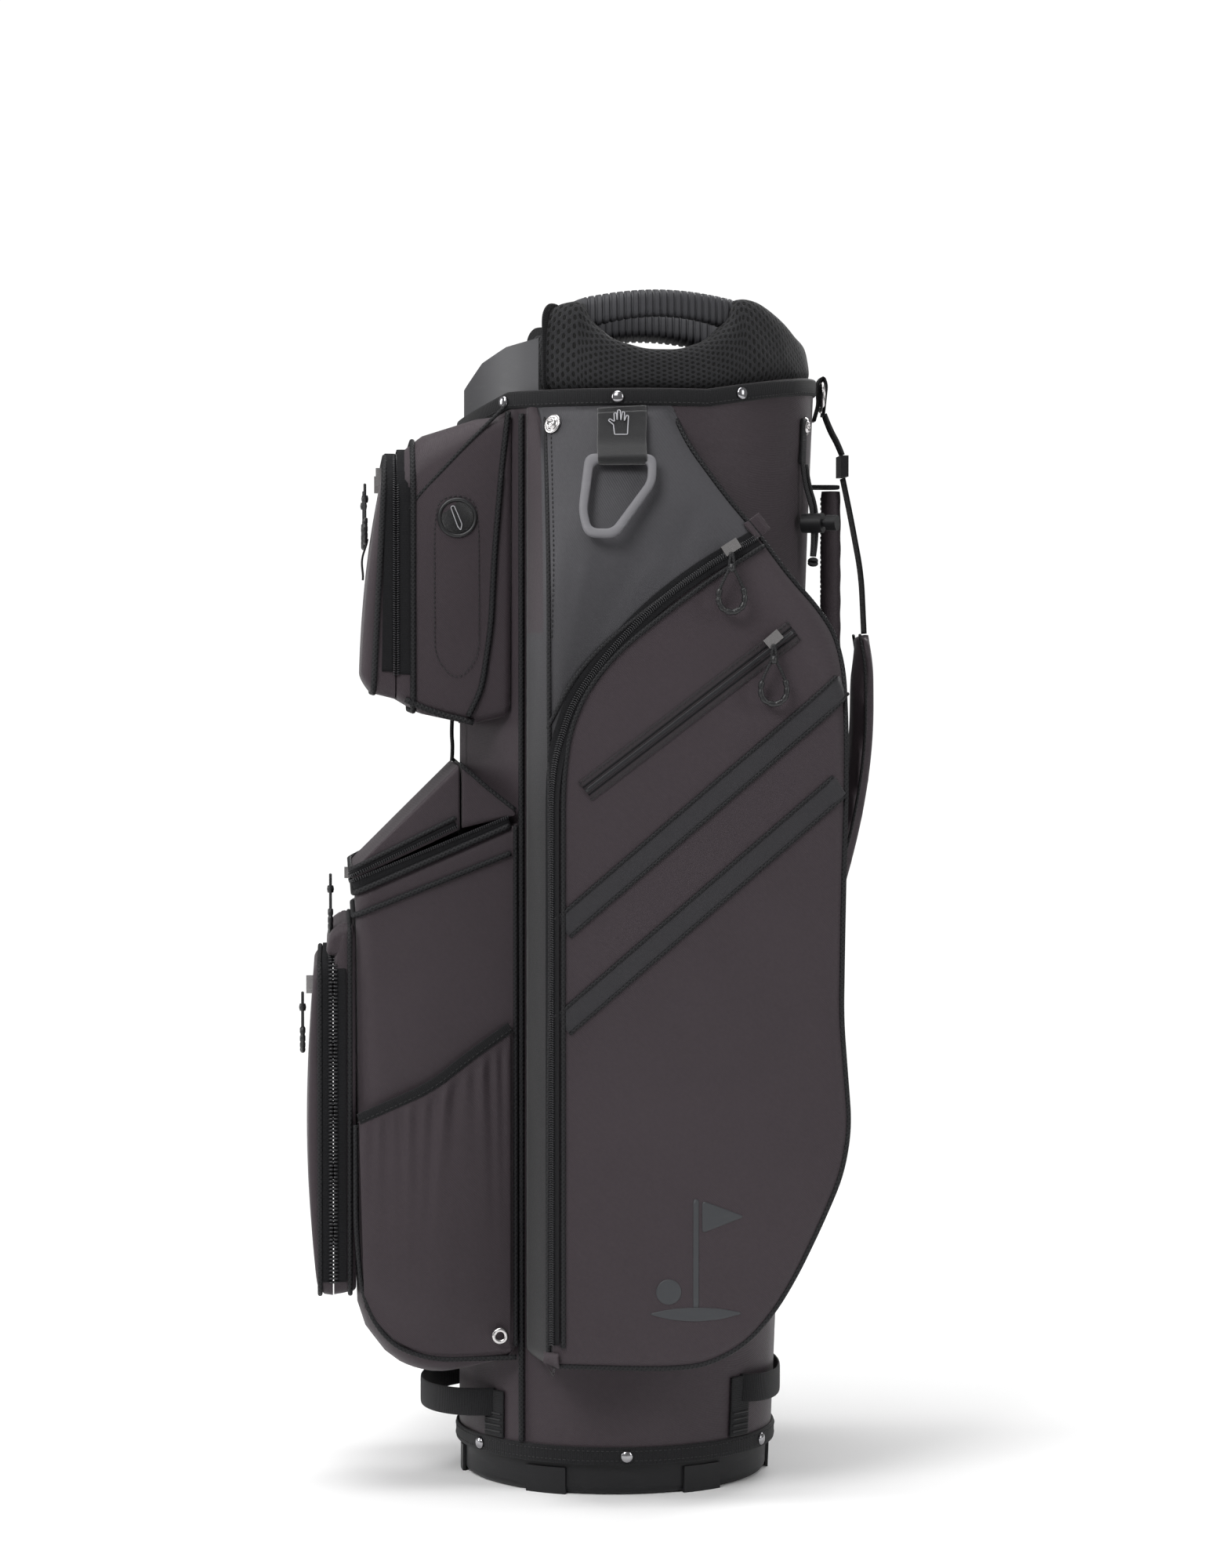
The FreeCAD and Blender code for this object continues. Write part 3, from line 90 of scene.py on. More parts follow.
def rounded(points, radius, step, closed=False):
    """A polyline whose corners are parabolic arcs starting a radius away, at equal steps."""
    points = np.array(points, float)
    before, after = np.roll(points, 1, 0) - points, np.roll(points, -1, 0) - points
    reach = np.minimum(np.linalg.norm(before, axis=1), np.linalg.norm(after, axis=1)) * 0.48
    reach = np.minimum(np.broadcast_to(radius, len(points)), reach)[:, None]
    if not closed:
        reach[[0, -1]] = 0
    first, last = points + unit(before) * reach, points + unit(after) * reach
    t = np.linspace(0, 1, 9)[:, None, None]
    arcs = (1 - t) ** 2 * first + 2 * t * (1 - t) * points + t ** 2 * last
    dense = arcs.transpose(1, 0, 2).reshape(-1, points.shape[1])
    total = lengths_along(np.vstack([dense, dense[:1]]) if closed else dense)[-1]
    return evenly(dense, max(4, int(total / step)), closed)


def slack(u, v, size, seed=0.0):
    """Gentle unevenness of cloth: five crossed sine waves of about this size, between -1 and 1."""
    total = np.zeros(np.broadcast(u, v).shape)
    for k in range(5):
        turn = 1.7 * k + seed
        wave = size * (0.6 + 0.25 * k)
        total += np.sin((u * math.cos(turn) + v * math.sin(turn)) * math.tau / wave + 2.1 * k + 3 * seed)
    return total / 5


def crease(y, z, start, end, width, depth):
    """A fold: a dent of Gaussian section round the line from start to end, fading at both ends."""
    a, b = np.array(start, float), np.array(end, float)
    run = b - a
    share = ((y - a[0]) * run[0] + (z - a[1]) * run[1]) / (run @ run)
    across = ((y - a[0]) * run[1] - (z - a[1]) * run[0]) / math.sqrt(run @ run)
    fade = ease(share, -0.15, 0.25) * (1 - ease(share, 0.6, 1.1))
    return depth * np.exp(-(across / width) ** 2) * fade


# ---- the tube that everything hangs on ----

def radius(z):
    """The tube's radius at a height: a straight taper from foot to rim."""
    return BASE_RADIUS + (TOP_RADIUS - BASE_RADIUS) * z / RIM


def centre(z):
    """Y of the tube's middle at a height: the tube leans back a little."""
    return TOP_SHIFT * z / RIM


def rim(y):
    """Height of the rim, level over the sides, falling in front and rising behind."""
    front = RIM_FRONT_SLOPE * np.maximum(0, RIM_FRONT_BREAK - y)
    return RIM - front + RIM_BACK_SLOPE * np.maximum(0, y - RIM_BACK_BREAK)


def tube_x(y, z, gap=0.0):
    """X of the tube's wall at a height and a depth, grown by a gap."""
    return np.sqrt(np.maximum((radius(z) + gap) ** 2 - (y - centre(z)) ** 2, 0))


def on_tube(angle, z, gap=0.0):
    """Points on the tube at angles in radians from +X towards +Y: x = r cos a, y = c + r sin a."""
    reach = radius(z) + gap
    return np.stack(np.broadcast_arrays(reach * np.cos(angle), centre(z) + reach * np.sin(angle), z), -1)


def off_tube(points, gap=0.6):
    """Push any point that lies inside the tube straight out to just off its wall."""
    out = points.copy()
    flat = np.stack([out[..., 0], out[..., 1] - centre(out[..., 2])], -1)
    reach = np.linalg.norm(flat, axis=-1)
    wanted = np.maximum(reach, radius(out[..., 2]) + gap)
    flat *= (wanted / np.maximum(reach, 1e-6))[..., None]
    out[..., 0], out[..., 1] = flat[..., 0], flat[..., 1] + centre(out[..., 2])
    return out


# ---- mesh makers ----

def mesh_piece(name, points, corners, sizes, uvs, material, body, parts=None):
    """A smooth mesh that rides on a body: points in millimetres, the corners of all its faces in one
    row, how many of them each face has, and one UV pair a corner. parts picks each face's material."""
    mesh = bpy.data.meshes.new(name)
    mesh.vertices.add(len(points))
    mesh.vertices.foreach_set("co", (points * MM).astype(np.float32).ravel())
    mesh.loops.add(len(corners))
    mesh.loops.foreach_set("vertex_index", corners.astype(np.int32))
    mesh.polygons.add(len(sizes))
    mesh.polygons.foreach_set("loop_start", (np.cumsum(sizes) - sizes).astype(np.int32))
    mesh.polygons.foreach_set("use_smooth", np.ones(len(sizes), bool))
    mesh.update(calc_edges=True)
    mesh.uv_layers.new(name="UVMap").data.foreach_set("uv", (uvs * MM).astype(np.float32).ravel())
    for item in material if isinstance(material, list) else [material]:
        mesh.materials.append(item)
    if parts is not None:
        mesh.polygons.foreach_set("material_index", parts.astype(np.int32))
    mesh.validate()
    mesh.update()
    piece = bpy.data.objects.new(name, mesh)
    bpy.context.collection.objects.link(piece)
    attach(piece, body)
    return piece


def surface(name, grid, material, body, wrap=(False, False), poles=(False, False), parts=None):
    """A closed skin over a grid of points: P(u, v), joined round where wrap says and drawn
    together to one point at a pole. UVs are lengths along u and v. parts(centres) picks materials."""
    rows, columns = grid.shape[:2]
    ids = np.arange(rows * columns).reshape(rows, columns)
    for end, at in ((poles[0], 0), (poles[1], -1)):
        if end:
            ids[:, at] = ids[0, at]
    extended = grid
    if wrap[0]:
        ids, extended = np.vstack([ids, ids[:1]]), np.vstack([extended, extended[:1]])
    if wrap[1]:
        ids = np.hstack([ids, ids[:, :1]])
        extended = np.concatenate([extended, extended[:, :1]], 1)
    along = np.linalg.norm(np.diff(extended, axis=0), axis=-1)
    across = np.linalg.norm(np.diff(extended, axis=1), axis=-1)
    u = np.concatenate([[0], np.cumsum(along.mean(1))])
    v = np.concatenate([[0], np.cumsum(across.mean(0))])
    uv = np.stack(np.meshgrid(u, v, indexing="ij"), -1)

    def corners(values):
        return np.stack([values[:-1, :-1], values[1:, :-1], values[1:, 1:], values[:-1, 1:]], 2)

    quads, quad_uv = corners(ids).reshape(-1, 4), corners(uv).reshape(-1, 4, 2)
    points = grid.reshape(-1, 3)
    a, b, c, d = (points[quads[:, k]] for k in range(4))
    volume = (a * np.cross(b, c)).sum() + (a * np.cross(c, d)).sum()
    if volume < 0:
        quads, quad_uv = quads[:, ::-1], quad_uv[:, ::-1]
    used, quads = np.unique(quads, return_inverse=True)
    quads = quads.reshape(-1, 4)
    keep = quads != np.roll(quads, 1, 1)
    whole = keep.sum(1) > 2
    quads, quad_uv, keep = quads[whole], quad_uv[whole], keep[whole]
    kinds = parts(points[used][quads].mean(1)) if parts else None
    return mesh_piece(name, points[used], quads[keep], keep.sum(1), quad_uv[keep], material, body, kinds)


def frames_along(path, normals, closed=False):
    """Tangent, side and normal at each point; the normal is kept square to the path."""
    if closed:
        tangent = unit(np.roll(path, -1, 0) - np.roll(path, 1, 0))
    else:
        tangent = unit(np.gradient(path, axis=0))
    normals = np.broadcast_to(normals, path.shape)
    normals = unit(normals - tangent * (normals * tangent).sum(1, keepdims=True))
    return tangent, np.cross(tangent, normals), normals


def sweep(name, path, normals, section, material, body, closed=False, scale=None):
    """A section of (across, up) points carried along a path: P = path + across * side + up * normal."""
    tangent, side, up = frames_along(path, normals, closed)
    section = np.asarray(section, float)
    scale = np.ones(len(path)) if scale is None else scale
    grid = path[:, None] + scale[:, None, None] * (
        section[None, :, :1] * side[:, None] + section[None, :, 1:] * up[:, None])
    if not closed:
        middle = section.mean(0)
        ends = [path[k] + middle[0] * side[k] + middle[1] * up[k] for k in (0, -1)]
        caps = [np.broadcast_to(end, (1, len(section), 3)) for end in ends]
        grid = np.concatenate([caps[0], grid, caps[1]])
    grid = grid.transpose(1, 0, 2)
    return surface(name, grid, material, body, (True, closed), (not closed, not closed))


def circle(radius_mm, count=10):
    """A round section: (r cos a, r sin a)."""
    turn = np.linspace(0, math.tau, count, endpoint=False)
    return radius_mm * np.stack([np.cos(turn), np.sin(turn)], 1)


def strap_section(width, thick, rise=0.0):
    """A flat strap's section with rounded edges, standing with its back on the path."""
    turn = np.linspace(0, math.tau, 24, endpoint=False)
    across = np.sign(np.cos(turn)) * np.abs(np.cos(turn)) ** 0.3 * width / 2
    up = np.sign(np.sin(turn)) * np.abs(np.sin(turn)) ** 0.6 * thick / 2 + thick / 2 + rise
    return np.stack([across, up], 1)


def scatter(name, corners, faces, spots, axes, material, body):
    """Copies of one small closed shape, each at a spot and turned to its own three axes."""
    corners = np.asarray(corners, float)
    points = spots[:, None] + np.einsum("kc,ncd->nkd", corners, axes)
    flat = np.concatenate(faces) + np.arange(len(spots))[:, None] * len(corners)
    sizes = np.tile([len(face) for face in faces], len(spots))
    return mesh_piece(name, points.reshape(-1, 3), flat.ravel(), sizes, np.zeros((flat.size, 2)), material,
                      body)


def bead_shape(length, width, height):
    """A small stud: a box drawn in at both ends and at its top, with its faces outwards."""
    corners = [(x * length / 2, y * width / 2 * (0.7 if z else 1), z * height)
               for z in (0, 1) for x, y in ((-1, -1), (1, -1), (1, 1), (-1, 1))]
    corners += [(-0.6 * length, 0, height * 0.45), (0.6 * length, 0, height * 0.45)]
    faces = [(3, 2, 1, 0), (4, 5, 6, 7), (0, 1, 5, 4), (2, 3, 7, 6), (1, 2, 9), (2, 6, 9), (6, 5, 9),
             (5, 1, 9), (3, 0, 8), (0, 4, 8), (4, 7, 8), (7, 3, 8)]
    return corners, faces


def studs(name, path, normals, pitch, shape, material, body, offset=(0, 0), lean=0.0, closed=False):
    """Studs at equal steps along a path, moved sideways and up by an offset, turned by lean."""
    total = lengths_along(path)[-1]
    dense = evenly(np.hstack([path, np.broadcast_to(normals, path.shape)]), max(3, int(total / pitch)),
                   closed)
    spots, up = dense[:, :3], dense[:, 3:]
    tangent, side, up = frames_along(spots, up, closed)
    spots = spots + side * offset[0] + up * offset[1]
    turned = tangent * math.cos(lean) + side * math.sin(lean)
    axes = np.stack([turned, np.cross(up, turned), up], 1)
    corners, faces = bead_shape(*shape)
    return scatter(name, corners, faces, spots, axes, material, body)


def stitches(name, path, normals, body, closed=False):
    """A row of thread stitches, as small studs along a path."""
    return studs(name, path, normals, STITCH_PITCH, STITCH, THREAD, body, closed=closed)


def lathe(name, profile, spot, normal, material, body, turns=40):
    """A profile of (radius, height) points turned round a normal at a spot."""
    normal = unit(np.array(normal, float))
    side = unit(np.cross(normal, Z_AXIS if abs(normal[2]) < 0.9 else X_AXIS))
    other = np.cross(normal, side)
    profile = np.asarray(profile, float)
    turn = np.linspace(0, math.tau, turns, endpoint=False)[:, None, None]
    ring = np.cos(turn) * side + np.sin(turn) * other
    grid = np.asarray(spot, float) + profile[None, :, :1] * ring + profile[None, :, 1:] * normal
    open_ring = profile[0, 0] > 0
    return surface(name, grid, material, body, (True, open_ring), (not open_ring, not open_ring))


# ---- finishes ----

class Graph:
    """A node tree with short ways to add and join its nodes."""

    def __init__(self, tree):
        self.tree = tree

    def node(self, kind, inputs=(), **settings):
        item = self.tree.nodes.new(kind)
        for key, value in settings.items():
            setattr(item, key, value)
        for key, value in dict(inputs).items():
            self.feed(value, item.inputs[key])
        return item

    def feed(self, value, socket):
        if isinstance(value, bpy.types.NodeSocket):
            self.tree.links.new(value, socket)
        else:
            socket.default_value = value

    def math(self, operation, a, b=0.0):
        return self.node("ShaderNodeMath", {0: a, 1: b}, operation=operation).outputs[0]

    def vector(self, operation, a, b=(0, 0, 0)):
        item = self.node("ShaderNodeVectorMath", {0: a, 1: b}, operation=operation)
        return item.outputs["Value" if operation in ("LENGTH", "DOT_PRODUCT") else "Vector"]

    def noise(self, vector, scale, detail=3.0):
        return self.node("ShaderNodeTexNoise", {"Vector": vector, "Scale": scale,
                                                "Detail": detail}).outputs[0]

    def blend(self, factor, a, b):
        """Colour mix."""
        item = self.node("ShaderNodeMix", {0: factor, 6: a, 7: b}, data_type="RGBA")
        return item.outputs[2]

    def ramp(self, value, low, high, start=0.0, end=1.0):
        """Map a value from low..high to start..end, held at the ends."""
        return self.node("ShaderNodeMapRange", {0: value, 1: low, 2: high, 3: start, 4: end}).outputs[0]


def new_group(name, inputs, outputs):
    """A shader node group with float or vector inputs and float outputs."""
    tree = bpy.data.node_groups.new(name, "ShaderNodeTree")
    for label, value in inputs.items():
        kind = "NodeSocketVector" if value is None else "NodeSocketFloat"
        socket = tree.interface.new_socket(label, in_out="INPUT", socket_type=kind)
        if value is not None:
            socket.default_value = value
    for label in outputs:
        tree.interface.new_socket(label, in_out="OUTPUT", socket_type="NodeSocketFloat")
    graph = Graph(tree)
    return graph, graph.node("NodeGroupInput").outputs, graph.node("NodeGroupOutput").inputs


def make_twill_group():
    """Diagonal twill: sin along one diagonal, broken by threads across it, over a slow tone drift."""
    graph, given, out = new_group("Twill", {"Vector": None, "Pitch": 0.0012}, ("Height", "Tone"))
    turns = graph.math("DIVIDE", math.tau, given["Pitch"])
    ribs = graph.vector("DOT_PRODUCT", given["Vector"], (0.75, 0.7, 0.7))
    threads = graph.vector("DOT_PRODUCT", given["Vector"], (0.75, 0.9, -0.35))
    rib = graph.math("SINE", graph.math("MULTIPLY", ribs, turns))
    thread = graph.math("SINE", graph.math("MULTIPLY", threads, turns))
    weave = graph.math("ADD", graph.math("MULTIPLY", rib, 0.35), graph.math("MULTIPLY", thread, 0.15))
    graph.feed(graph.math("ADD", weave, 0.5), out["Height"])
    drift = graph.noise(given["Vector"], 9.0, 2.0)
    grain = graph.noise(given["Vector"], 420.0, 2.0)
    graph.feed(graph.math("ADD", graph.ramp(drift, 0.3, 0.7, -0.5, 0.5),
                          graph.ramp(grain, 0.3, 0.7, -0.35, 0.35)), out["Tone"])
    return graph.tree


def make_ribbed_group():
    """Woven tape on a piece's own UVs: ribs across it at one pitch, with a fine warp along it."""
    graph, given, out = new_group("Ribbed tape", {"Vector": None, "Pitch": 0.0014, "Warp": 0.0009},
                                  ("Height", "Tone"))
    parts = graph.node("ShaderNodeSeparateXYZ", {0: given["Vector"]}).outputs
    warp = graph.math("SINE", graph.math("MULTIPLY", parts[0], graph.math("DIVIDE", math.tau, given["Warp"])))
    across = graph.math("MULTIPLY", parts[1], graph.math("DIVIDE", math.tau, given["Pitch"]))
    rib = graph.math("SINE", across)
    height = graph.math("ADD", graph.math("MULTIPLY", rib, 0.4), graph.math("MULTIPLY", warp, 0.15))
    graph.feed(graph.math("ADD", height, 0.5), out["Height"])
    fuzz = graph.noise(given["Vector"], 900.0)
    graph.feed(graph.math("ADD", graph.math("MULTIPLY", rib, 0.3), graph.ramp(fuzz, 0.3, 0.7, -0.5, 0.5)),
               out["Tone"])
    return graph.tree


def make_braid_group():
    """Braided cord on its UVs: the higher of two sine waves that wind round it in opposite ways."""
    graph, given, out = new_group("Braid", {"Vector": None, "Pitch": 0.0032}, ("Height", "Tone"))
    parts = graph.node("ShaderNodeSeparateXYZ", {0: given["Vector"]}).outputs
    turns = graph.math("DIVIDE", math.tau, given["Pitch"])
    along, around = (graph.math("MULTIPLY", part, turns) for part in (parts[1], parts[0]))
    left = graph.math("SINE", graph.math("ADD", along, around))
    right = graph.math("SINE", graph.math("SUBTRACT", along, around))
    top = graph.math("MAXIMUM", left, right)
    graph.feed(graph.math("MULTIPLY", graph.math("ADD", top, 1.0), 0.5), out["Height"])
    graph.feed(top, out["Tone"])
    return graph.tree


def make_holes_group():
    """Air mesh on its UVs: round holes on a hexagonal lattice, as the nearer of two square-set
    rows of cells, each cell's distance being the length of its fraction less a half."""
    graph, given, out = new_group("Air mesh", {"Vector": None, "Pitch": 0.0046}, ("Height", "Hole"))
    cell = graph.node("ShaderNodeCombineXYZ", {0: given["Pitch"], 1: graph.math("MULTIPLY", given["Pitch"],
                                                                                1.732), 2: 1.0}).outputs[0]
    flat = graph.vector("MULTIPLY", given["Vector"], (1, 1, 0))
    nearest = None
    for shift in ((0.0, 0.0, 0.0), (0.5, 0.5, 0.0)):
        share = graph.vector("FRACTION", graph.vector("ADD", graph.vector("DIVIDE", flat, cell), shift))
        offset = graph.vector("MULTIPLY", graph.vector("SUBTRACT", share, (0.5, 0.5, 0.0)), cell)
        reach = graph.math("DIVIDE", graph.vector("LENGTH", offset), given["Pitch"])
        nearest = reach if nearest is None else graph.math("MINIMUM", nearest, reach)
    hole = graph.ramp(nearest, 0.24, 0.36, 1.0, 0.0)
    graph.feed(hole, out["Hole"])
    fuzz = graph.noise(given["Vector"], 1400.0)
    graph.feed(graph.math("SUBTRACT", graph.ramp(fuzz, 0.3, 0.7, 0.6, 1.0), hole), out["Height"])
    return graph.tree


def make_grain_group():
    """Moulded plastic or rubber: fine even grain with a few broad scuffs."""
    graph, given, out = new_group("Moulded grain", {"Vector": None, "Size": 1600.0}, ("Height", "Scuff"))
    graph.feed(graph.node("ShaderNodeTexNoise", {"Vector": given["Vector"], "Scale": given["Size"],
                                                 "Detail": 2.0}).outputs[0], out["Height"])
    streaks = graph.noise(graph.vector("MULTIPLY", given["Vector"], (40, 40, 220)), 1.0, 5.0)
    graph.feed(graph.ramp(streaks, 0.55, 0.8), out["Scuff"])
    return graph.tree


TWILL, RIBBED, BRAID = make_twill_group(), make_ribbed_group(), make_braid_group()
AIR_MESH, GRAIN = make_holes_group(), make_grain_group()


def finish_of(name, colour, rough, group, values, depth, contrast=0.12, metal=0.0, rough_spread=0.08,
              uv=False, second=None, **shader):
    """A Principled finish: the group's second output shades the colour and the roughness, and its
    first is the height of the bump. second is the colour where that output is high."""
    material = bpy.data.materials.new(name)
    material.use_nodes = True
    graph = Graph(material.node_tree)
    bsdf = material.node_tree.nodes["Principled BSDF"]
    for label, value in {"Metallic": metal, **shader}.items():
        bsdf.inputs[label].default_value = value
    place = graph.node("ShaderNodeTexCoord").outputs["UV" if uv else "Object"]
    effect = graph.node("ShaderNodeGroup", node_tree=group)
    graph.feed(place, effect.inputs["Vector"])
    for label, value in values.items():
        effect.inputs[label].default_value = value
    shade = effect.outputs[1]
    dark = (*[c * (1 - contrast) for c in colour], 1)
    light = (*(second or [c * (1 + contrast) for c in colour]), 1)
    share = shade if second else graph.ramp(shade, -1, 1)
    graph.feed(graph.blend(share, dark, light), bsdf.inputs["Base Color"])
    graph.feed(graph.ramp(shade, -1, 1, rough + rough_spread, rough - rough_spread), bsdf.inputs["Roughness"])
    bump = graph.node("ShaderNodeBump", {"Height": effect.outputs[0], "Strength": 0.6, "Distance": depth})
    graph.feed(bump.outputs["Normal"], bsdf.inputs["Normal"])
    return material


def paint_shade_below(material, colour, low, high):
    """Painted shade: blend a finish towards a darker colour below a height, in metres."""
    graph = Graph(material.node_tree)
    socket = material.node_tree.nodes["Principled BSDF"].inputs["Base Color"]
    light = socket.links[0].from_socket
    place = graph.node("ShaderNodeTexCoord").outputs["Object"]
    height = graph.node("ShaderNodeSeparateXYZ", {0: place}).outputs[2]
    graph.feed(graph.blend(graph.ramp(height, low, high), (*colour, 1), light), socket)


def cloth(name, colour, pitch=0.0013, **more):
    """Coated twill with a soft sheen."""
    return finish_of(name, colour, 0.56, TWILL, {"Pitch": pitch}, 0.00022, 0.10, **{
        "Sheen Weight": 0.12, "Sheen Roughness": 0.4, "Specular IOR Level": 0.22, **more})


BROWN_CLOTH = cloth("charcoal_cloth", (0.040, 0.031, 0.036))
GREY_CLOTH = cloth("grey_cloth", (0.052, 0.051, 0.056), 0.0015)
# painted shade: the grey cloth darkens below 0.50 to 0.69 m, where the lower gusset faces away from the
# lights
paint_shade_below(GREY_CLOTH, (0.012, 0.0115, 0.0125), 0.50, 0.69)
STRIPE_CLOTH = cloth("stripe_film", (0.028, 0.027, 0.030), 0.0009)
SEAL_TAPE = cloth("welt_tape", (0.030, 0.025, 0.028), 0.0008, **{"Sheen Weight": 0.0})
WEBBING = finish_of("black_webbing", (0.010, 0.010, 0.011), 0.72, RIBBED, {}, 0.0004, 0.3, uv=True,
                    **{"Sheen Weight": 0.08, "Specular IOR Level": 0.15})
ZIP_TAPE = finish_of("zip_tape", (0.008, 0.008, 0.009), 0.75, RIBBED, {"Pitch": 0.001}, 0.0002, 0.25, uv=True,
                     **{"Specular IOR Level": 0.15})
HOOK_TAPE = finish_of("loop_pile", (0.012, 0.012, 0.013), 0.95, GRAIN, {"Size": 2600.0}, 0.0009, 0.3,
                      **{"Sheen Weight": 0.5, "Specular IOR Level": 0.15})
ROPE = finish_of("braided_piping", (0.011, 0.011, 0.012), 0.6, BRAID, {"Pitch": 0.0034}, 0.0006, 0.5, uv=True,
                 **{"Specular IOR Level": 0.2})
CORD = finish_of("braided_cord", (0.010, 0.010, 0.011), 0.62, BRAID, {"Pitch": 0.0021}, 0.0004, 0.5, uv=True,
                 **{"Specular IOR Level": 0.35})
MESH = finish_of("air_mesh", (0.022, 0.022, 0.024), 0.8, AIR_MESH, {}, 0.0016, 0.1, uv=True,
                 second=(0.002, 0.002, 0.002), **{"Sheen Weight": 0.1, "Specular IOR Level": 0.15})
BLACK_PLASTIC = finish_of("black_moulding", (0.010, 0.010, 0.011), 0.5, GRAIN, {}, 0.0002, 0.2,
                          **{"Specular IOR Level": 0.25})
GREY_PLASTIC = finish_of("grey_moulding", (0.046, 0.046, 0.050), 0.5, GRAIN, {"Size": 900.0}, 0.00012, 0.12)
RING_PLASTIC = finish_of("ring_moulding", (0.135, 0.133, 0.143), 0.5, GRAIN, {"Size": 900.0}, 0.00012, 0.12,
                         **{"Specular IOR Level": 0.35})
GRIP_RUBBER = finish_of("grip_rubber", (0.038, 0.038, 0.042), 0.6, GRAIN, {}, 0.0002, 0.15,
                        **{"Specular IOR Level": 0.3})
PULL_RUBBER = finish_of("pull_rubber", (0.012, 0.012, 0.013), 0.4, GRAIN, {}, 0.0001, 0.2)
TEETH = finish_of("zip_teeth", (0.016, 0.016, 0.018), 0.35, GRAIN, {}, 0.0001, 0.2,
                  **{"Specular IOR Level": 0.4})
METAL = finish_of("gunmetal", (0.36, 0.355, 0.37), 0.2, GRAIN, {"Size": 500.0}, 0.00005, 0.15, metal=1.0)
BRIGHT_METAL = finish_of("nickel", (0.62, 0.6, 0.6), 0.24, GRAIN, {"Size": 500.0}, 0.00005, 0.12, metal=1.0)
FLEECE = finish_of("divider_fleece", (0.02, 0.02, 0.022), 0.95, GRAIN, {"Size": 1200.0}, 0.0012, 0.25,
                   **{"Sheen Weight": 0.4, "Specular IOR Level": 0.15})
GLASS_FIBRE = finish_of("stay_rod", (0.17, 0.17, 0.165), 0.4, GRAIN, {}, 0.0001, 0.1)
THREAD = finish_of("thread", (0.012, 0.012, 0.013), 0.7, GRAIN, {}, 0.0001, 0.2)
EMBLEM_FILM = finish_of("emblem_film", (0.03, 0.032, 0.036), 0.5, GRAIN, {"Size": 700.0}, 0.0001, 0.12)
PALE_INK = finish_of("pale_print", (0.34, 0.34, 0.36), 0.6, GRAIN, {}, 0.0001, 0.15)


def keep_cad(material, *nodes):
    """CAD pieces whose shape already is the finished one, with their own finish."""
    for node in nodes:
        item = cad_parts[node]
        item.data.materials.clear()
        item.data.materials.append(material)


# ---- camera, floor and lights ----

def make_camera():
    """Level with the bag's middle, three metres off on the +X side, a little towards the front."""
    away, sideways, height = 3.0, -0.0067, 0.606
    turn, tilt = math.radians(-4.0), math.radians(1.49)
    camera = bpy.data.objects.new("camera", bpy.data.cameras.new("camera"))
    camera.data.sensor_width, camera.data.lens = 36.0, 89.19
    camera.location = (away * math.cos(turn) - sideways * math.sin(turn),
                       away * math.sin(turn) + sideways * math.cos(turn), height)
    camera.rotation_euler = (math.pi / 2 - tilt, 0, math.pi / 2 + turn)
    bpy.context.collection.objects.link(camera)
    bpy.context.scene.camera = camera


def soft_box(name, spot, aim, size, power):
    """A large area light at a spot, turned towards the point it aims at."""
    light = bpy.data.lights.new(name, "AREA")
    light.shape, light.size, light.size_y, light.energy = "RECTANGLE", size[0], size[1], power
    item = bpy.data.objects.new(name, light)
    item.location = spot
    away = np.array(spot, float) - np.array(aim, float)
    flat = math.hypot(away[0], away[1])
    item.rotation_euler = (math.atan2(flat, away[2]), 0, math.atan2(away[0], -away[1]))
    bpy.context.collection.objects.link(item)


def make_studio():
    """A pale round floor, a white surround and five soft boxes."""
    floor = bpy.data.meshes.new("floor")
    turn = np.linspace(0, math.tau, 96, endpoint=False)
    rim_points = np.stack([1.7 * np.cos(turn), 1.7 * np.sin(turn), 0 * turn], 1)
    floor.from_pydata(rim_points.tolist(), [], [list(range(96))])
    item = bpy.data.objects.new("floor", floor)
    bpy.context.collection.objects.link(item)
    pale = bpy.data.materials.new("pale_floor")
    pale.use_nodes = True
    pale.node_tree.nodes["Principled BSDF"].inputs["Base Color"].default_value = (0.97, 0.97, 0.97, 1)
    pale.node_tree.nodes["Principled BSDF"].inputs["Roughness"].default_value = 0.9
    floor.materials.append(pale)
    world = bpy.data.worlds.new("studio")
    bpy.context.scene.world = world
    world.use_nodes = True
    graph = Graph(world.node_tree)
    seen = graph.node("ShaderNodeLightPath").outputs["Is Camera Ray"]
    back = world.node_tree.nodes["Background"]
    back.inputs[0].default_value = (1, 1, 1, 1)
    graph.feed(graph.ramp(seen, 0.0, 1.0, 0.24, 1.05), back.inputs[1])
    bpy.context.scene.view_settings.view_transform = "Standard"
    soft_box("key_light", (2.2, -1.5, 2.4), (0, 0, 0.5), (1.3, 1.3), 62)
    soft_box("side_light", (1.7, 2.4, 1.3), (0, 0, 0.5), (0.8, 1.8), 22)
    soft_box("top_light", (0.2, -0.3, 2.8), (0, 0, 0.6), (1.6, 1.6), 40)
    soft_box("front_light", (-0.3, -3.0, 1.2), (0, 0, 0.5), (1.0, 1.8), 34)
    soft_box("back_light", (-2.4, 1.2, 1.8), (0, 0, 0.5), (1.4, 1.6), 45)


make_camera()
make_studio()


# ---- free cords: their routes are those of the CAD model ----

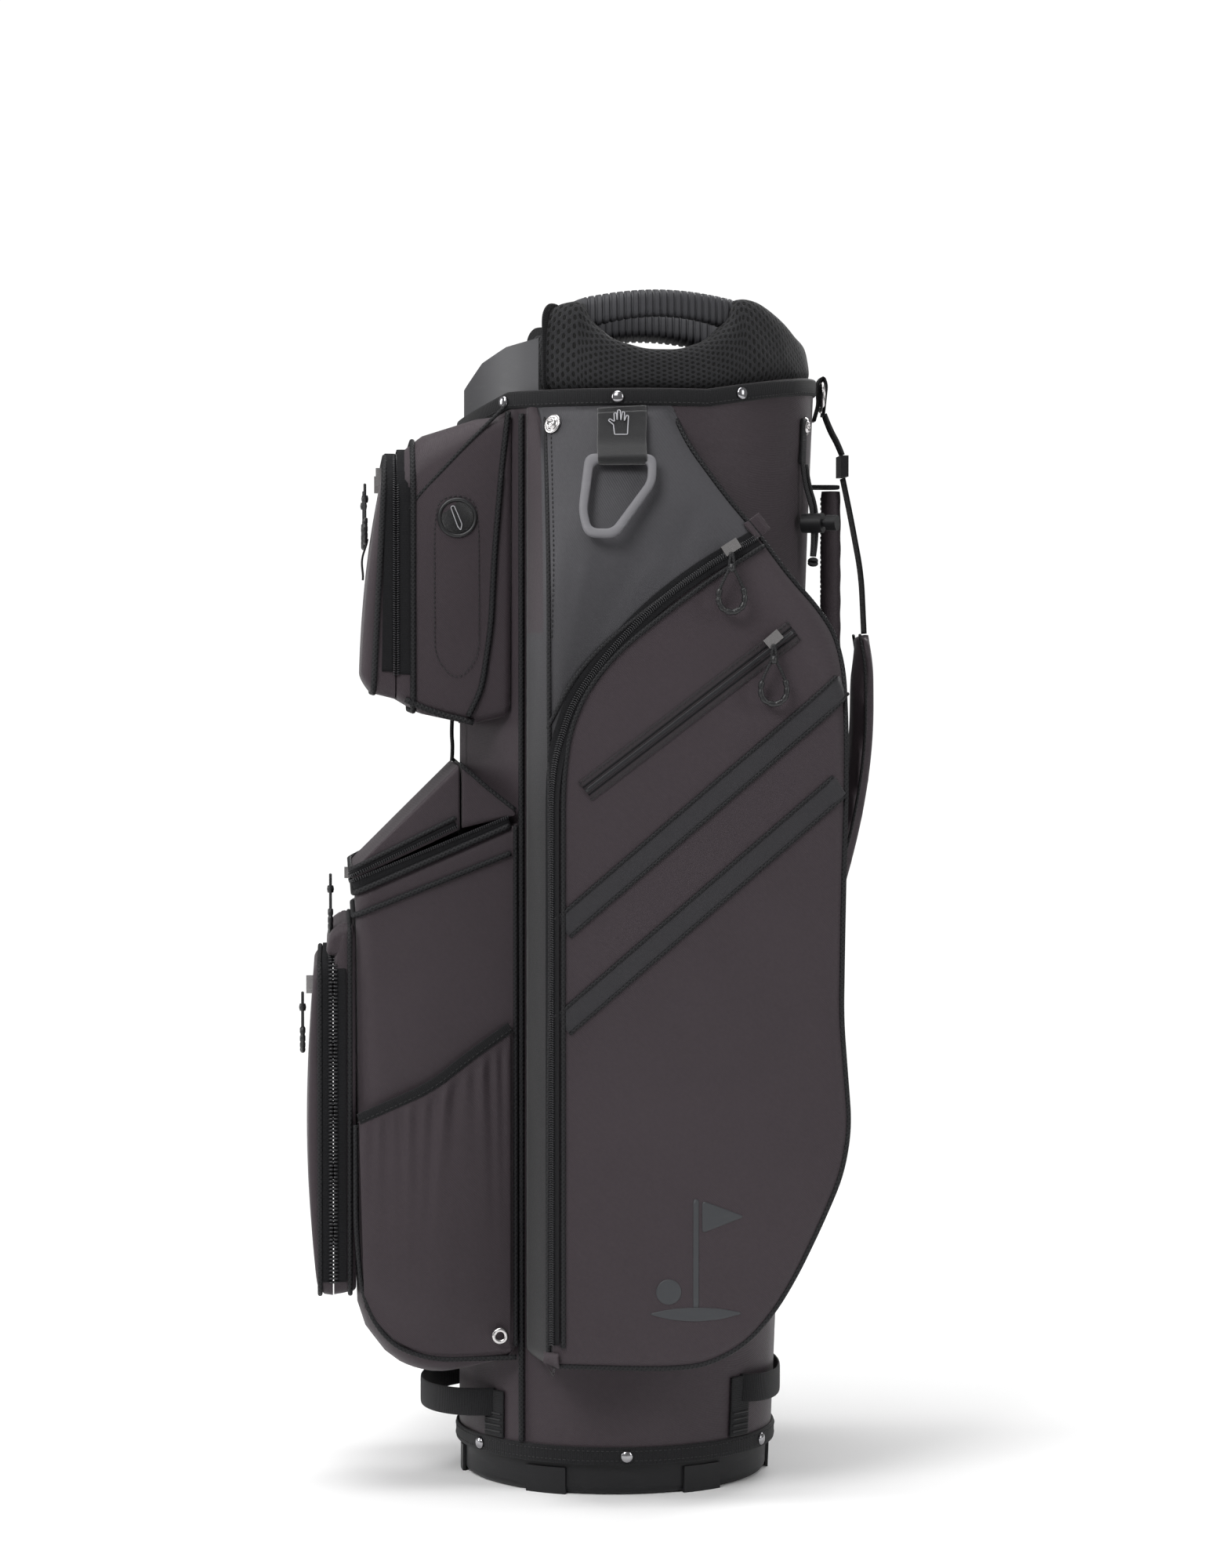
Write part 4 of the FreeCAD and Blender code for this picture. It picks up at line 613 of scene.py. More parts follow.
CORD_WIDTH, POCKET_CORD_WIDTH = 3.5, 3.0
UMBRELLA_ROUTES = [
    [(64.1, 138.3, 771.7), (64.6, 140, 756), (65, 145, 741), (64.4, 146.2, 727), (62.8, 146.8, 713),
     (60.5, 146.2, 702)],
    [(56.9, 141.8, 771.7), (56.2, 144, 756), (56.8, 149, 741), (56.8, 150, 727), (56.6, 149.6, 713),
     (56.8, 148, 702)],
]
STRAP_ROUTE = [(-4, 162.8, 813.6), (-5.6, 167, 802), (-5.2, 173.4, 791), (-4.4, 176.8, 782.1)]
POCKET_ROUTE = [(30, -126, 578.3), (30.5, -126.6, 567.5), (29.8, -125.5, 557), (30.6, -126.3, 546.5)]


def smooth_route(points):
    """A route as one smooth line: the polyline that Blender gives for a NURBS spline of order 3."""
    curve = bpy.data.curves.new("route", "CURVE")
    curve.dimensions = "3D"
    curve.resolution_u = 12
    spline = curve.splines.new("NURBS")
    spline.points.add(len(points) - 1)
    for spot, point in zip(spline.points, points):
        spot.co = (*[c * MM for c in point], 1)
    spline.order_u, spline.use_endpoint_u = 3, True
    holder = bpy.data.objects.new("route", curve)
    bpy.context.collection.objects.link(holder)
    mesh = bpy.data.meshes.new_from_object(holder)
    line = np.array([v.co for v in mesh.vertices]) / MM
    bpy.data.objects.remove(holder)
    return line


def free_cord(name, points, width):
    """A limp cord swept along its smooth route."""
    line = smooth_route(points)
    piece = sweep(name, line, X_AXIS, circle(width / 2, 14), CORD, "bag")
    return piece


def make_knot():
    """An overhand knot: two crossed rings of cord round the strands' ends, with the tails below."""
    low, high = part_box("umbrella_knot")
    spot = (np.array(low) + np.array(high)) / 2 / MM
    turn = np.linspace(0, math.tau, 40, endpoint=False)
    pieces = []
    for k, (lean, lift) in enumerate(((0.5, 0.9), (-0.45, -0.9))):
        ring = np.stack([2.5 * np.cos(turn), 2.5 * np.sin(turn), lift + lean * 2.5 * np.cos(turn)], 1)
        pieces.append(sweep(f"umbrella_knot_turn_{k}", spot + ring, Z_AXIS, circle(1.55, 10), CORD, "bag",
                            True))
    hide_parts("umbrella_knot")
    return pieces


def make_cords():
    """The umbrella loop, the strap's two cords and the cord end below the valuables pocket."""
    knot = make_knot()
    first = free_cord("umbrella_cord_near", UMBRELLA_ROUTES[0], CORD_WIDTH)
    free_cord("umbrella_cord_far", UMBRELLA_ROUTES[1], CORD_WIDTH)
    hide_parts("umbrella_cords")
    strands = [free_cord(f"strap_cord_{side}", [(k * x, y, z) for x, y, z in STRAP_ROUTE], CORD_WIDTH) for k, side in ((1, "left"), (-1, "right"))]
    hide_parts("strap_cords")
    tail = free_cord("pocket_cord_end", POCKET_ROUTE, POCKET_CORD_WIDTH)
    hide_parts("pocket_cord")
    keep_cad(BLACK_PLASTIC, "cord_lock", "lock_plunger")


make_cords()


# ---- shared soft-goods makers ----

def stand_in(piece, *nodes, slot):
    """This piece stands for CAD nodes, which are hidden; the slot argument is not used."""
    if nodes:
        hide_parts(*nodes)
    return piece


def rect_loop(half, low, high, corner_low, corner_high, sides=14, arc=7):
    """A rectangle |x| < half, low < l < high with rounded corners, always with the same number of
    points in the same order: up +x, along the high edge, down -x and back along the low edge."""
    spots = []
    for cx, cl, start, r in ((half - corner_low, low + corner_low, -90, corner_low),
                             (half - corner_high, high - corner_high, 0, corner_high),
                             (corner_high - half, high - corner_high, 90, corner_high),
                             (corner_low - half, low + corner_low, 180, corner_low)):
        turn = np.radians(start + np.linspace(0, 90, arc))
        spots.append(np.stack([cx + r * np.cos(turn), cl + r * np.sin(turn)], 1))
    loop = []
    for k in range(4):
        loop.append(spots[k])
        gap = np.linspace(spots[k][-1], spots[(k + 1) % 4][0], sides + 2)[1:-1]
        loop.append(gap)
    return np.vstack(loop)


def ring_between(low, high, half, grow, corners):
    """A rounded loop in the slanting plane through the side-view points low and high, grown outwards."""
    low, high = np.array(low, float), np.array(high, float)
    length = np.linalg.norm(high - low)
    along = (high - low) / length
    small = [max(0.6, c + grow) for c in corners]
    flat = rect_loop(half + grow, -grow, length + grow, *small)
    spots = low + flat[:, 1:] * along
    return np.stack([flat[:, 0], spots[:, 0], spots[:, 1]], 1)


def pouch(name, stations, half, corners, material, body, roll, steps=26, puff=None, depth=1.0):
    """A cup of fabric. Each station is the side view's (low, high) pair of points, from the closed
    end to the mouth. Rings between them grow from a rolled edge, turn over at the mouth and go back
    inside to a lining, so it can be opened. corners gives (low, high) radii at both ends."""
    marks = np.array([[*low, *high] for low, high in stations], float)
    middle = (marks[:, :2] + marks[:, 2:]) / 2
    at = lengths_along(middle)

    def ring(spot, grow, shrink=1.0):
        mark = [np.interp(spot, at, marks[:, k]) for k in range(4)]
        share = spot / at[-1]
        near, far = corners
        radii = [near[k] * (1 - share) + far[k] * share for k in (0, 1)]
        loop = ring_between(mark[:2], mark[2:], half, grow, radii)
        centre_spot = loop.mean(0)
        return centre_spot + (loop - centre_spot) * shrink

    edge = [(1 - math.cos(a)) * roll for a in np.linspace(0, math.pi / 2, 7)]
    sink = [(1 - math.sin(a)) * roll for a in np.linspace(0, math.pi / 2, 7)]
    rings = [ring(0, -roll, s) for s in np.linspace(0, 1, 14)]
    rings += [ring(e, -s) for e, s in zip(edge[1:], sink[1:])]
    rings += [ring(s, 0) for s in np.linspace(roll, at[-1], steps)[1:]]
    rings += [ring(at[-1], -CLOTH_WALL * s) for s in (0.5, 1.0)]
    bottom = at[-1] * (1 - depth) + CLOTH_WALL
    rings += [ring(s, -CLOTH_WALL) for s in np.linspace(at[-1], bottom, 8)[1:]]
    rings += [ring(bottom, -CLOTH_WALL, s) for s in np.linspace(1, 0, 8)[1:]]
    grid = np.stack(rings, 1)
    if puff:
        grid = puff(grid)
    return surface(name, grid, material, body, (True, False), (True, True))


def loop_path(low, high, half, corners, grow=0.0):
    """The seam round a pouch at a (low, high) pair, with its outward normals."""
    loop = ring_between(low, high, half, grow, corners)
    path = evenly(loop, 260, True)
    tangent = unit(np.roll(path, -1, 0) - np.roll(path, 1, 0))
    low, high = np.array(low, float), np.array(high, float)
    plane = unit(np.cross(X_AXIS, [0, *(high - low)]))
    out = np.cross(tangent, plane)
    return path, out * np.sign(((path - path.mean(0)) * out).sum())


def open_run(values, keep):
    """The kept points of a closed loop, in order from just after the gap."""
    start = int(np.argmax(~keep))
    turned, kept = np.roll(values, -start, 0), np.roll(keep, -start)
    return turned[kept]


def loop_run(pair, half, corners, grow, kept):
    """The part of the seam round a pouch that kept(points) picks, with its outward normals."""
    path, out = loop_path(*pair, half, corners, grow)
    keep = kept(path)
    return open_run(path, keep), open_run(out, keep)


def above(height):
    """Picks points over a height."""
    return lambda points: points[:, 2] > height


def ahead_of(depth):
    """Picks points in front of a depth."""
    return lambda points: points[:, 1] < depth


def piping(name, path, normals, body, closed=False, size=PIPING):
    """Braided rope along a seam, its centre a little off the surface."""
    line = path + unit(np.broadcast_to(normals, path.shape)) * size * 0.45
    return stand_in(sweep(name, line, normals, circle(size, 12), ROPE, body, closed), slot="cord")


def coil_zip(name, path, normals, width):
    """Zip: a ribbed tape along a path with two rows of leaning studs on it."""
    stand_in(sweep(f"{name}_tape", path, normals, strap_section(width, 1.0), ZIP_TAPE, "bag"), slot="webbing")
    for side in (-1, 1):
        stand_in(studs(f"{name}_teeth_{'ab'[side > 0]}", path, normals, TOOTH_PITCH, (2.3, 0.95, 1.3), TEETH,
                       "bag", (side * 1.05, 0.9), math.pi / 2 - side * 0.35), slot="webbing")


def dome(radius_mm, height):
    """Rivet profile: a quarter round over a short straight rim."""
    turn = np.linspace(0, math.pi / 2, 9)
    top = np.stack([radius_mm * np.cos(turn), height * 0.25 + height * 0.75 * np.sin(turn)], 1)
    return np.vstack([[[0, 0]], [[radius_mm, 0]], top[:-1], [[0, height]]])


SNAP = np.array([(0, 0), (7.5, 0), (7.6, 0.9), (7.0, 1.5), (5.6, 1.3), (5.0, 1.1), (4.6, 1.3), (4.2, 3.2),
                 (3.6, 3.7), (2.9, 3.3), (2.7, 1.4), (0, 1.2)], float)


# ---- tube, rim and foot ----

def make_tube():
    """The tube's cover: P(a, v) goes up the outside, over the rim and down the lining, with a faint
    slackness of the cloth that dies away at both bindings."""
    turn = np.linspace(0, math.tau, 240, endpoint=False)[:, None]
    rise = np.linspace(0, 1, 150)[None, :]
    top = rim(centre(RIM) + TOP_RADIUS * np.sin(turn))
    z = SHELL_FOOT + (top - SHELL_FOOT) * rise
    hold = ease(z, 40, 110) * (1 - ease(z, 740, 800))
    loose = 0.45 * slack(turn * 128, z * 0.35, 60.0) * hold
    hem = 0.7 * np.exp(-((z - 775) / 1.6) ** 2)
    outer = on_tube(turn, z, loose - hem)
    fold = [on_tube(turn, top + lift, -back) for lift, back in ((0.8, 0.4), (1.2, 1.5), (0.8, 2.6))]
    down = np.linspace(1, 0, 40)[None, :]
    inner = on_tube(turn, SHELL_FOOT + (top - SHELL_FOOT) * down, -SHELL_WALL)
    grid = np.concatenate([outer, *fold, inner], 1)

    def lined(spots):
        reach = np.hypot(spots[:, 0], spots[:, 1] - centre(spots[:, 2]))
        return (reach < radius(spots[:, 2]) - 1.7).astype(int)

    stand_in(surface("tube_cover", grid, [BROWN_CLOTH, HOOK_TAPE], "bag", (True, True), parts=lined),
             "body_shell", slot="tube_fabric")


def round_tube(z_of, gap):
    """A closed path round the tube at a height that may follow the rim, with normals straight out."""
    turn = np.linspace(0, math.tau, 260, endpoint=False)
    y = centre(RIM) + TOP_RADIUS * np.sin(turn)
    path = on_tube(turn, z_of(y), gap)
    return path, np.stack([np.cos(turn), np.sin(turn), 0 * turn], 1)


def make_bindings():
    """Webbing bound round the rim and the foot, with its stitches, and the two spine pipings."""
    path, out = round_tube(lambda y: rim(y) - BINDING / 2 + 1.0, -SHELL_WALL - 2.2)
    stand_in(sweep("rim_binding", path, out, strap_section(BINDING, SHELL_WALL + 4.4), WEBBING, "bag", True),
             "upper_binding", slot="webbing")
    path, out = round_tube(lambda y: rim(y) - BINDING + 3.4, 2.1)
    stand_in(stitches("rim_stitches", path, out, "bag", True), slot="webbing")
    path, out = round_tube(lambda y: 0 * y + 30.5, 0.2)
    stand_in(sweep("foot_binding", path, out, strap_section(BINDING, BINDING_THICK), WEBBING, "bag", True),
             "lower_binding", slot="webbing")
    for k, z in enumerate((27.0, 34.2)):
        path, out = round_tube(lambda y, z=z: 0 * y + z, 2.4)
        stand_in(stitches(f"foot_stitches_{k}", path, out, "bag", True), slot="webbing")
    for side in (-1, 1):
        z = np.linspace(38, 806, 220)
        y = np.full_like(z, -76.0)
        path = np.stack([side * tube_x(y, z, 1.4), y, z], 1)
        out = unit(np.stack([path[:, 0], y - centre(z), 0 * z], 1))
        piece = piping(f"spine_piping_{'lr'[side > 0]}", path, out, "bag")
        if side > 0:
            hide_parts("spine_pipings")


def make_rivets():
    """Domed rivets round the rim and the foot, at angles in degrees from +X."""
    for name, low, angles, gap in (("rim", None, (-50, -10, 30, 150, 190, 230), 2.2),
                                   ("foot", 30.5, (-60, -120, 0, 60, 120, 180), 2.6)):
        for k, angle in enumerate(np.radians(angles)):
            y = centre(RIM) + TOP_RADIUS * math.sin(angle)
            z = low or float(rim(np.array(y))) - 5.5
            spot = on_tube(angle, z, gap)
            piece = lathe(f"{name}_rivet_{k}", dome(4.6, 3.0), spot, (math.cos(angle), math.sin(angle), 0),
                          METAL, "bag", 24)
            stand_in(piece, slot="gunmetal")
            if k == 0:
                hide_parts(f"{'rim' if low is None else 'base'}_rivets")


# ---- side pockets ----

FACE_REACH, FACE_ROLL, FLARE_START, FLARE_SLOPE, FLARE_TOP = 168.0, 11.0, 4.0, 0.3827, 806.0
FACE_MIDDLE, FLAT_BACK = np.array([45.0, 430.0]), 66.8
SIDE_OUTLINE = [(-60, 104), (-14, 102), (26, 101), (55, 103), (84, 117), (106, 141), (123, 169), (141, 206),
                (157, 243), (163, 278), (157, 359), (160, 532), (160, 618), (154, 644), (140, 664),
                (118, 687), (98, 714), (72, 744), (43, 784), (31, 813), (-60, 813)]
SIDE_EDGE = rounded(SIDE_OUTLINE, [4.0] + [16.0] * 18 + [6.0, 4.0], 6.0, True)
MAIN_ZIP = [(93, 712), (55, 691), (15, 661), (-20, 624), (-43, 592), (-54, 555), (-56.5, 526), (-56.5, 122)]
FACE_SEAM = [(98, 706), (62, 684), (20, 653), (-10, 628), (-31, 603), (-45, 571), (-49.5, 532), (-49.5, 120)]
WELT = [(-33, 527), (120, 644)]
STRIPES = [[(-50, 427), (157, 604)], [(-50, 356), (154, 531)]]
GREY_FOLDS = [((-30, 700), (-48, 600), 7, 1.6), ((0, 690), (-30, 630), 6, -1.3),
              ((25, 700), (0, 665), 6, 1.4), ((-52, 690), (-58, 560), 5, -1.1),
              ((10, 760), (-20, 700), 9, 1.1), ((50, 735), (30, 690), 7, -1.2)]
PANEL_FOLDS = [((140, 600), (60, 560), 12, 1.2), ((-45, 330), (40, 380), 20, -0.9),
               ((130, 230), (60, 300), 22, 1.2), ((150, 480), (90, 430), 18, -1.0)]


def edge_gap(y, z):
    """Distance from points of the face to its outline."""
    flat = np.stack([np.ravel(y), np.ravel(z)], 1)
    a, b = SIDE_EDGE, np.roll(SIDE_EDGE, -1, 0)
    run = b - a
    best = np.full(len(flat), 1e9)
    for start, step in zip(a, run):
        share = np.clip(((flat - start) @ step) / (step @ step), 0, 1)
        best = np.minimum(best, np.hypot(*(flat - start - share[:, None] * step).T))
    return best.reshape(np.shape(y))


def side_face(y, z):
    """X of the face: the flat panel and the cone that leans in to the rim, whichever is less, with
    a rolled edge, folds pulled from the seams and the cloth's own slackness."""
    y, z = np.asarray(y, float), np.asarray(z, float)
    cone = radius(z) + FLARE_START + FLARE_SLOPE * (FLARE_TOP - z)
    flare = np.sqrt(np.maximum(cone ** 2 - (y - centre(z)) ** 2, 1))
    x = soft_min(FACE_REACH, flare, 12.0)
    gap = edge_gap(y, z)
    inside = np.minimum(gap, FACE_ROLL)
    x = x - (FACE_ROLL - np.sqrt(FACE_ROLL ** 2 - (FACE_ROLL - inside) ** 2))
    for folds in (GREY_FOLDS, PANEL_FOLDS):
        for start, end, width, depth in folds:
            x = x + crease(y, z, start, end, width, depth)
    return x + 0.55 * slack(y, z * 0.7, 75.0, 0.4) * ease(gap, 4, 25)


def side_point(flat, side, lift=0.0):
    """Points of the face in 3D with their normals, from (y, z) pairs."""
    y, z = np.asarray(flat, float).T
    x = side_face(y, z)
    tip = 1.5
    slope_y = (side_face(y + tip, z) - side_face(y - tip, z)) / (2 * tip)
    slope_z = (side_face(y, z + tip) - side_face(y, z - tip)) / (2 * tip)
    out = unit(np.stack([side * np.ones_like(x), -slope_y, -slope_z], 1))
    return np.stack([side * x, y, z], 1) + out * lift, out


def main_zip_height(y):
    """Height of the main zip's line at a depth, where the grey cloth begins."""
    line = np.array(MAIN_ZIP[:-1])[::-1]
    return np.interp(y, line[:, 0], line[:, 1])


def side_body(side):
    """A drum: the face out of rings drawn in to a middle point, a wall back to the tube, and a back
    that lies on the tube. The front wall drifts forward to the spine."""
    middle, edge = FACE_MIDDLE, SIDE_EDGE
    shares = np.concatenate([[0], np.linspace(0.02, 0.9, 52), np.linspace(0.915, 1, 14)])
    flat = middle + shares[None, :, None] * (edge - middle)[:, None]
    face = np.stack([side_face(flat[..., 0], flat[..., 1]), flat[..., 0], flat[..., 1]], -1)
    t = np.linspace(0, 1, 15)[None, 1:]
    front = ease(-edge[:, :1], 40, 58)
    y = edge[:, :1] - 13 * front * t
    z = np.broadcast_to(edge[:, 1:], y.shape)
    back_x = np.maximum(tube_x(y, z, 0.8), FLAT_BACK)
    wall = np.stack([face[:, -1, :1] * (1 - t) + back_x * t, y, z], -1)
    wall[..., 0] += 2.2 * np.sin(math.pi * t) * front + 0.8 * slack(z, t * 60, 50.0) * np.sin(math.pi * t)
    back = middle + np.linspace(1, 0, 22)[None, 1:, None] * (wall[:, -1, 1:] - middle)[:, None]
    back = np.concatenate([np.maximum(tube_x(back[..., 0], back[..., 1], 0.8), FLAT_BACK)[..., None], back],
                          -1)
    grid = off_tube(np.concatenate([face, wall, back], 1), 0.7)
    grid[..., 0] *= side

    def panels(spots):
        grey = (spots[:, 2] > main_zip_height(spots[:, 1])) | (spots[:, 1] < -57)
        strip = (spots[:, 1] < -63) & (spots[:, 2] > 640)
        return np.where(strip, 0, np.where(grey, 1, 0))

    name = "left" if side < 0 else "right"
    stand_in(surface(f"side_pocket_{name}_cover", grid, [BROWN_CLOTH, GREY_CLOTH], "bag", (True, False),
                     (True, True), panels), f"side_pocket_{name}", slot="tube_fabric")


def on_side(points, radius_mm, step, side, lift=0.0):
    """A rounded line drawn on the face, with its normals."""
    return side_point(rounded(points, radius_mm, step), side, lift)


def side_details(side):
    """Pipings, the main zip, the welt zip, the slanting bands and the strip by the spine."""
    tag = "left" if side < 0 else "right"
    edge = SIDE_EDGE + unit(FACE_MIDDLE - SIDE_EDGE) * 2.4
    path, out = side_point(edge, side)
    piping(f"side_edge_piping_{tag}", evenly(path, 560, True), evenly(out, 560, True), "bag", True, 2.0)
    path, out = on_side(MAIN_ZIP, 30, 3.0, side, 0.3)
    coil_zip(f"side_zip_{tag}", path, out, 13.0)
    path, out = on_side(FACE_SEAM, 30, 3.0, side)
    piping(f"side_seam_piping_{tag}", path, out, "bag", size=1.9)
    seam = np.array(FACE_SEAM, float) + (-14.5, 2)
    path, out = on_side(seam[:6], 30, 3.0, side)
    piping(f"side_upper_piping_{tag}", path, out, "bag", size=1.6)
    welt(side, tag)
    stripes(side, tag)
    spine_strip(side, tag)


def welt(side, tag):
    """Slanting zip: a flat tape frame with sewn edges and a closed coil down its middle."""
    run = unit(np.array(WELT[1], float) - WELT[0])
    across = np.array([-run[1], run[0]])
    path, out = on_side(WELT, 1, 3.0, side, 0.25)
    stand_in(sweep(f"welt_frame_{tag}", path, out, strap_section(17.0, 0.9), SEAL_TAPE, "bag"),
             slot="tube_fabric")
    stand_in(sweep(f"welt_coil_{tag}", path, out, strap_section(2.6, 1.9), TEETH, "bag"), slot="webbing")
    for k, shift in enumerate((-7.2, -3.4, 3.4, 7.2)):
        line = [np.array(p, float) + across * shift for p in WELT]
        path, out = on_side(line, 1, 3.0, side, 1.1)
        if k in (0, 3):
            stand_in(stitches(f"welt_stitches_{tag}_{k}", path, out, "bag"), slot="webbing")
        else:
            stand_in(sweep(f"welt_lip_{tag}_{k}", path, out, circle(0.7, 8), ZIP_TAPE, "bag"), slot="webbing")


def stripes(side, tag):
    """Two slanting bands of smooth film, each edged with thin rope."""
    for k, line in enumerate(STRIPES):
        run = unit(np.array(line[1], float) - line[0])
        across = np.array([-run[1], run[0]])
        path, out = on_side(line, 1, 3.0, side, 0.1)
        stand_in(sweep(f"stripe_{tag}_{k}", path, out, strap_section(15.5, 0.9), STRIPE_CLOTH, "bag"),
                 slot="grey_fabric")
        for j, shift in enumerate((-8.2, 8.2)):
            path, out = on_side([np.array(p, float) + across * shift for p in line], 1, 3.0, side, 0.2)
            piping(f"stripe_rope_{tag}_{k}{j}", path, out, "bag", size=1.35)


def spine_strip(side, tag):
    """Row of stitches where the grey panel meets the strip beside the spine, and a tab over each
    end of the main zip."""
    path, out = on_side([(-55.5, 790), (-55.5, 700), (-57, 640)], 20, 3.0, side, 0.2)
    stand_in(stitches(f"spine_stitches_{tag}", path, out, "bag"), slot="webbing")
    for k, ends in enumerate((((88, 716), (100, 725)), ((-57, 116), (-57, 104)))):
        path, out = on_side(ends, 1, 3.0, side, 0.9)
        stand_in(sweep(f"zip_end_{tag}_{k}", path, out, strap_section(15.0, 1.6), BROWN_CLOTH, "bag"),
                 slot="tube_fabric")


make_tube()
make_bindings()
make_rivets()
for hand in (-1, 1):
    side_body(hand)
    side_details(hand)
keep_cad(GREY_PLASTIC, "top_ring")
keep_cad(BLACK_PLASTIC, "base_cup", "base_feet", "divider_bars")
keep_cad(BRIGHT_METAL, "side_sliders", "welt_slider_right", "welt_slider_left", "valuables_sliders",
         "lid_slider", "front_slider", "strap_rings")
keep_cad(FLEECE, "divider_panels")
keep_cad(GLASS_FIBRE, "stay_rods")


# ---- pulls: bead, cord loop and moulded grip, fitted to each pull's CAD plate ----

PULL_LINE = [(0, 1), (-1.5, -7), (-1.7, -13), (-6, -21), (-9.2, -29), (-9.8, -36), (-7, -42), (0, -45),
             (7, -42), (9.8, -36), (9.2, -29), (6, -21), (1.7, -13), (1.5, -7)]


def make_pull(node):
    """The loop P(t) follows a teardrop in the plate's plane; the grip thickens its lower half and
    is grooved along its length."""
    low, high = (np.array(corner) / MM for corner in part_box(node))
    size = high - low
    flat = X_AXIS if size[0] < size[1] else Y_AXIS
    across = Y_AXIS if size[0] < size[1] else X_AXIS
    top = (low + high) / 2
    top[2] = high[2] - 2.2
    line = rounded(PULL_LINE, 5.0, 0.8, True)
    path = top + line[:, :1] * across + line[:, 1:] * Z_AXIS
    stand_in(sweep(f"{node}_loop", path, flat, circle(1.15, 10), CORD, node, True), node, slot="cord")
    lower = line[line[:, 1] < -27]
    lower = lower[np.argsort(np.arctan2(lower[:, 0], -(lower[:, 1] + 33)))]
    lower = evenly(lower, 44)
    grip = top + lower[:, :1] * across + lower[:, 1:] * Z_AXIS
    ribs = 1 - 0.22 * (np.cos(np.arange(44) * math.tau / 5.5) > 0.55)
    stand_in(sweep(f"{node}_grip", grip, flat, circle(2.25, 12) * [1, 0.92], PULL_RUBBER, node, scale=ribs),
             slot="pull_rubber")
    bead = np.array([(0, -3.2), (2.2, -2.6), (2.7, 0), (2.2, 2.6), (0, 3.2)])
    stand_in(lathe(f"{node}_bead", bead, top - 12.0 * Z_AXIS, Z_AXIS, PULL_RUBBER, node, 16),
             slot="pull_rubber")


def make_pulls():
    """A pull on each slider; each rides on the body of its own name."""
    for side in ("right", "left"):
        for kind in ("side", "welt", "valuables"):
            make_pull(f"{kind}_pull_{side}")
    make_pull("lid_pull")
    make_pull("front_pull")


# ---- valuables pocket and its door ----

POCKET_HALF = 95.0
VALUABLES_SEAM = ((-169.4, 594), (-169.4, 776))
VALUABLES_BODY = [((-84, 582), (-82, 806)), ((-114, 575), (-110, 803)), ((-151, 583), (-150, 791)),
                  VALUABLES_SEAM]
DOOR_BODY = [((-195.5, 607), (-178, 772)), ((-188, 598.5), (-175, 777)), ((-170.2, 594), (-170.2, 776.5))]
DOOR_CORNERS, VALUABLES_ZIP_END = (10, 34), 612
VALUABLES_ROUND, DOOR_ROUND = ((8, 6), DOOR_CORNERS), ((10, 30), DOOR_CORNERS)


def swell(middle, size, amount, axis):
    """Crowning: points move along an axis by amount * (1 - p^2)(1 - q^2) over a patch of that size."""
    middle, size, axis = (np.array(v, float) for v in (middle, size, axis))

    def move(points):
        share = np.clip((points - middle) / size, -1, 1) ** 2
        return points + (amount * np.prod(1 - share, axis=-1))[..., None] * axis

    return move


def side_crown(low, high, half, amount, size=55.0, seed=0.0):
    """Both side walls of a pocket bulge outwards and are a little uneven."""
    def move(points):
        x, y, z = (points[..., k] for k in range(3))
        p = np.clip((y - low[0]) / (high[0] - low[0]), 0, 1)
        q = np.clip((z - low[1]) / (high[1] - low[1]), 0, 1)
        mask = ease(np.abs(x), half * 0.75, half - 3) * np.sin(math.pi * p) * np.sin(math.pi * q)
        out = points.copy()
        out[..., 0] += np.sign(x) * mask * (amount + 0.9 * slack(y, z, size, seed + np.sign(half)))
        return out
    return move


def both(*moves):
    """Moves of points made one after another."""
    def move(points):
        for step in moves:
            points = step(points)
        return points
    return move


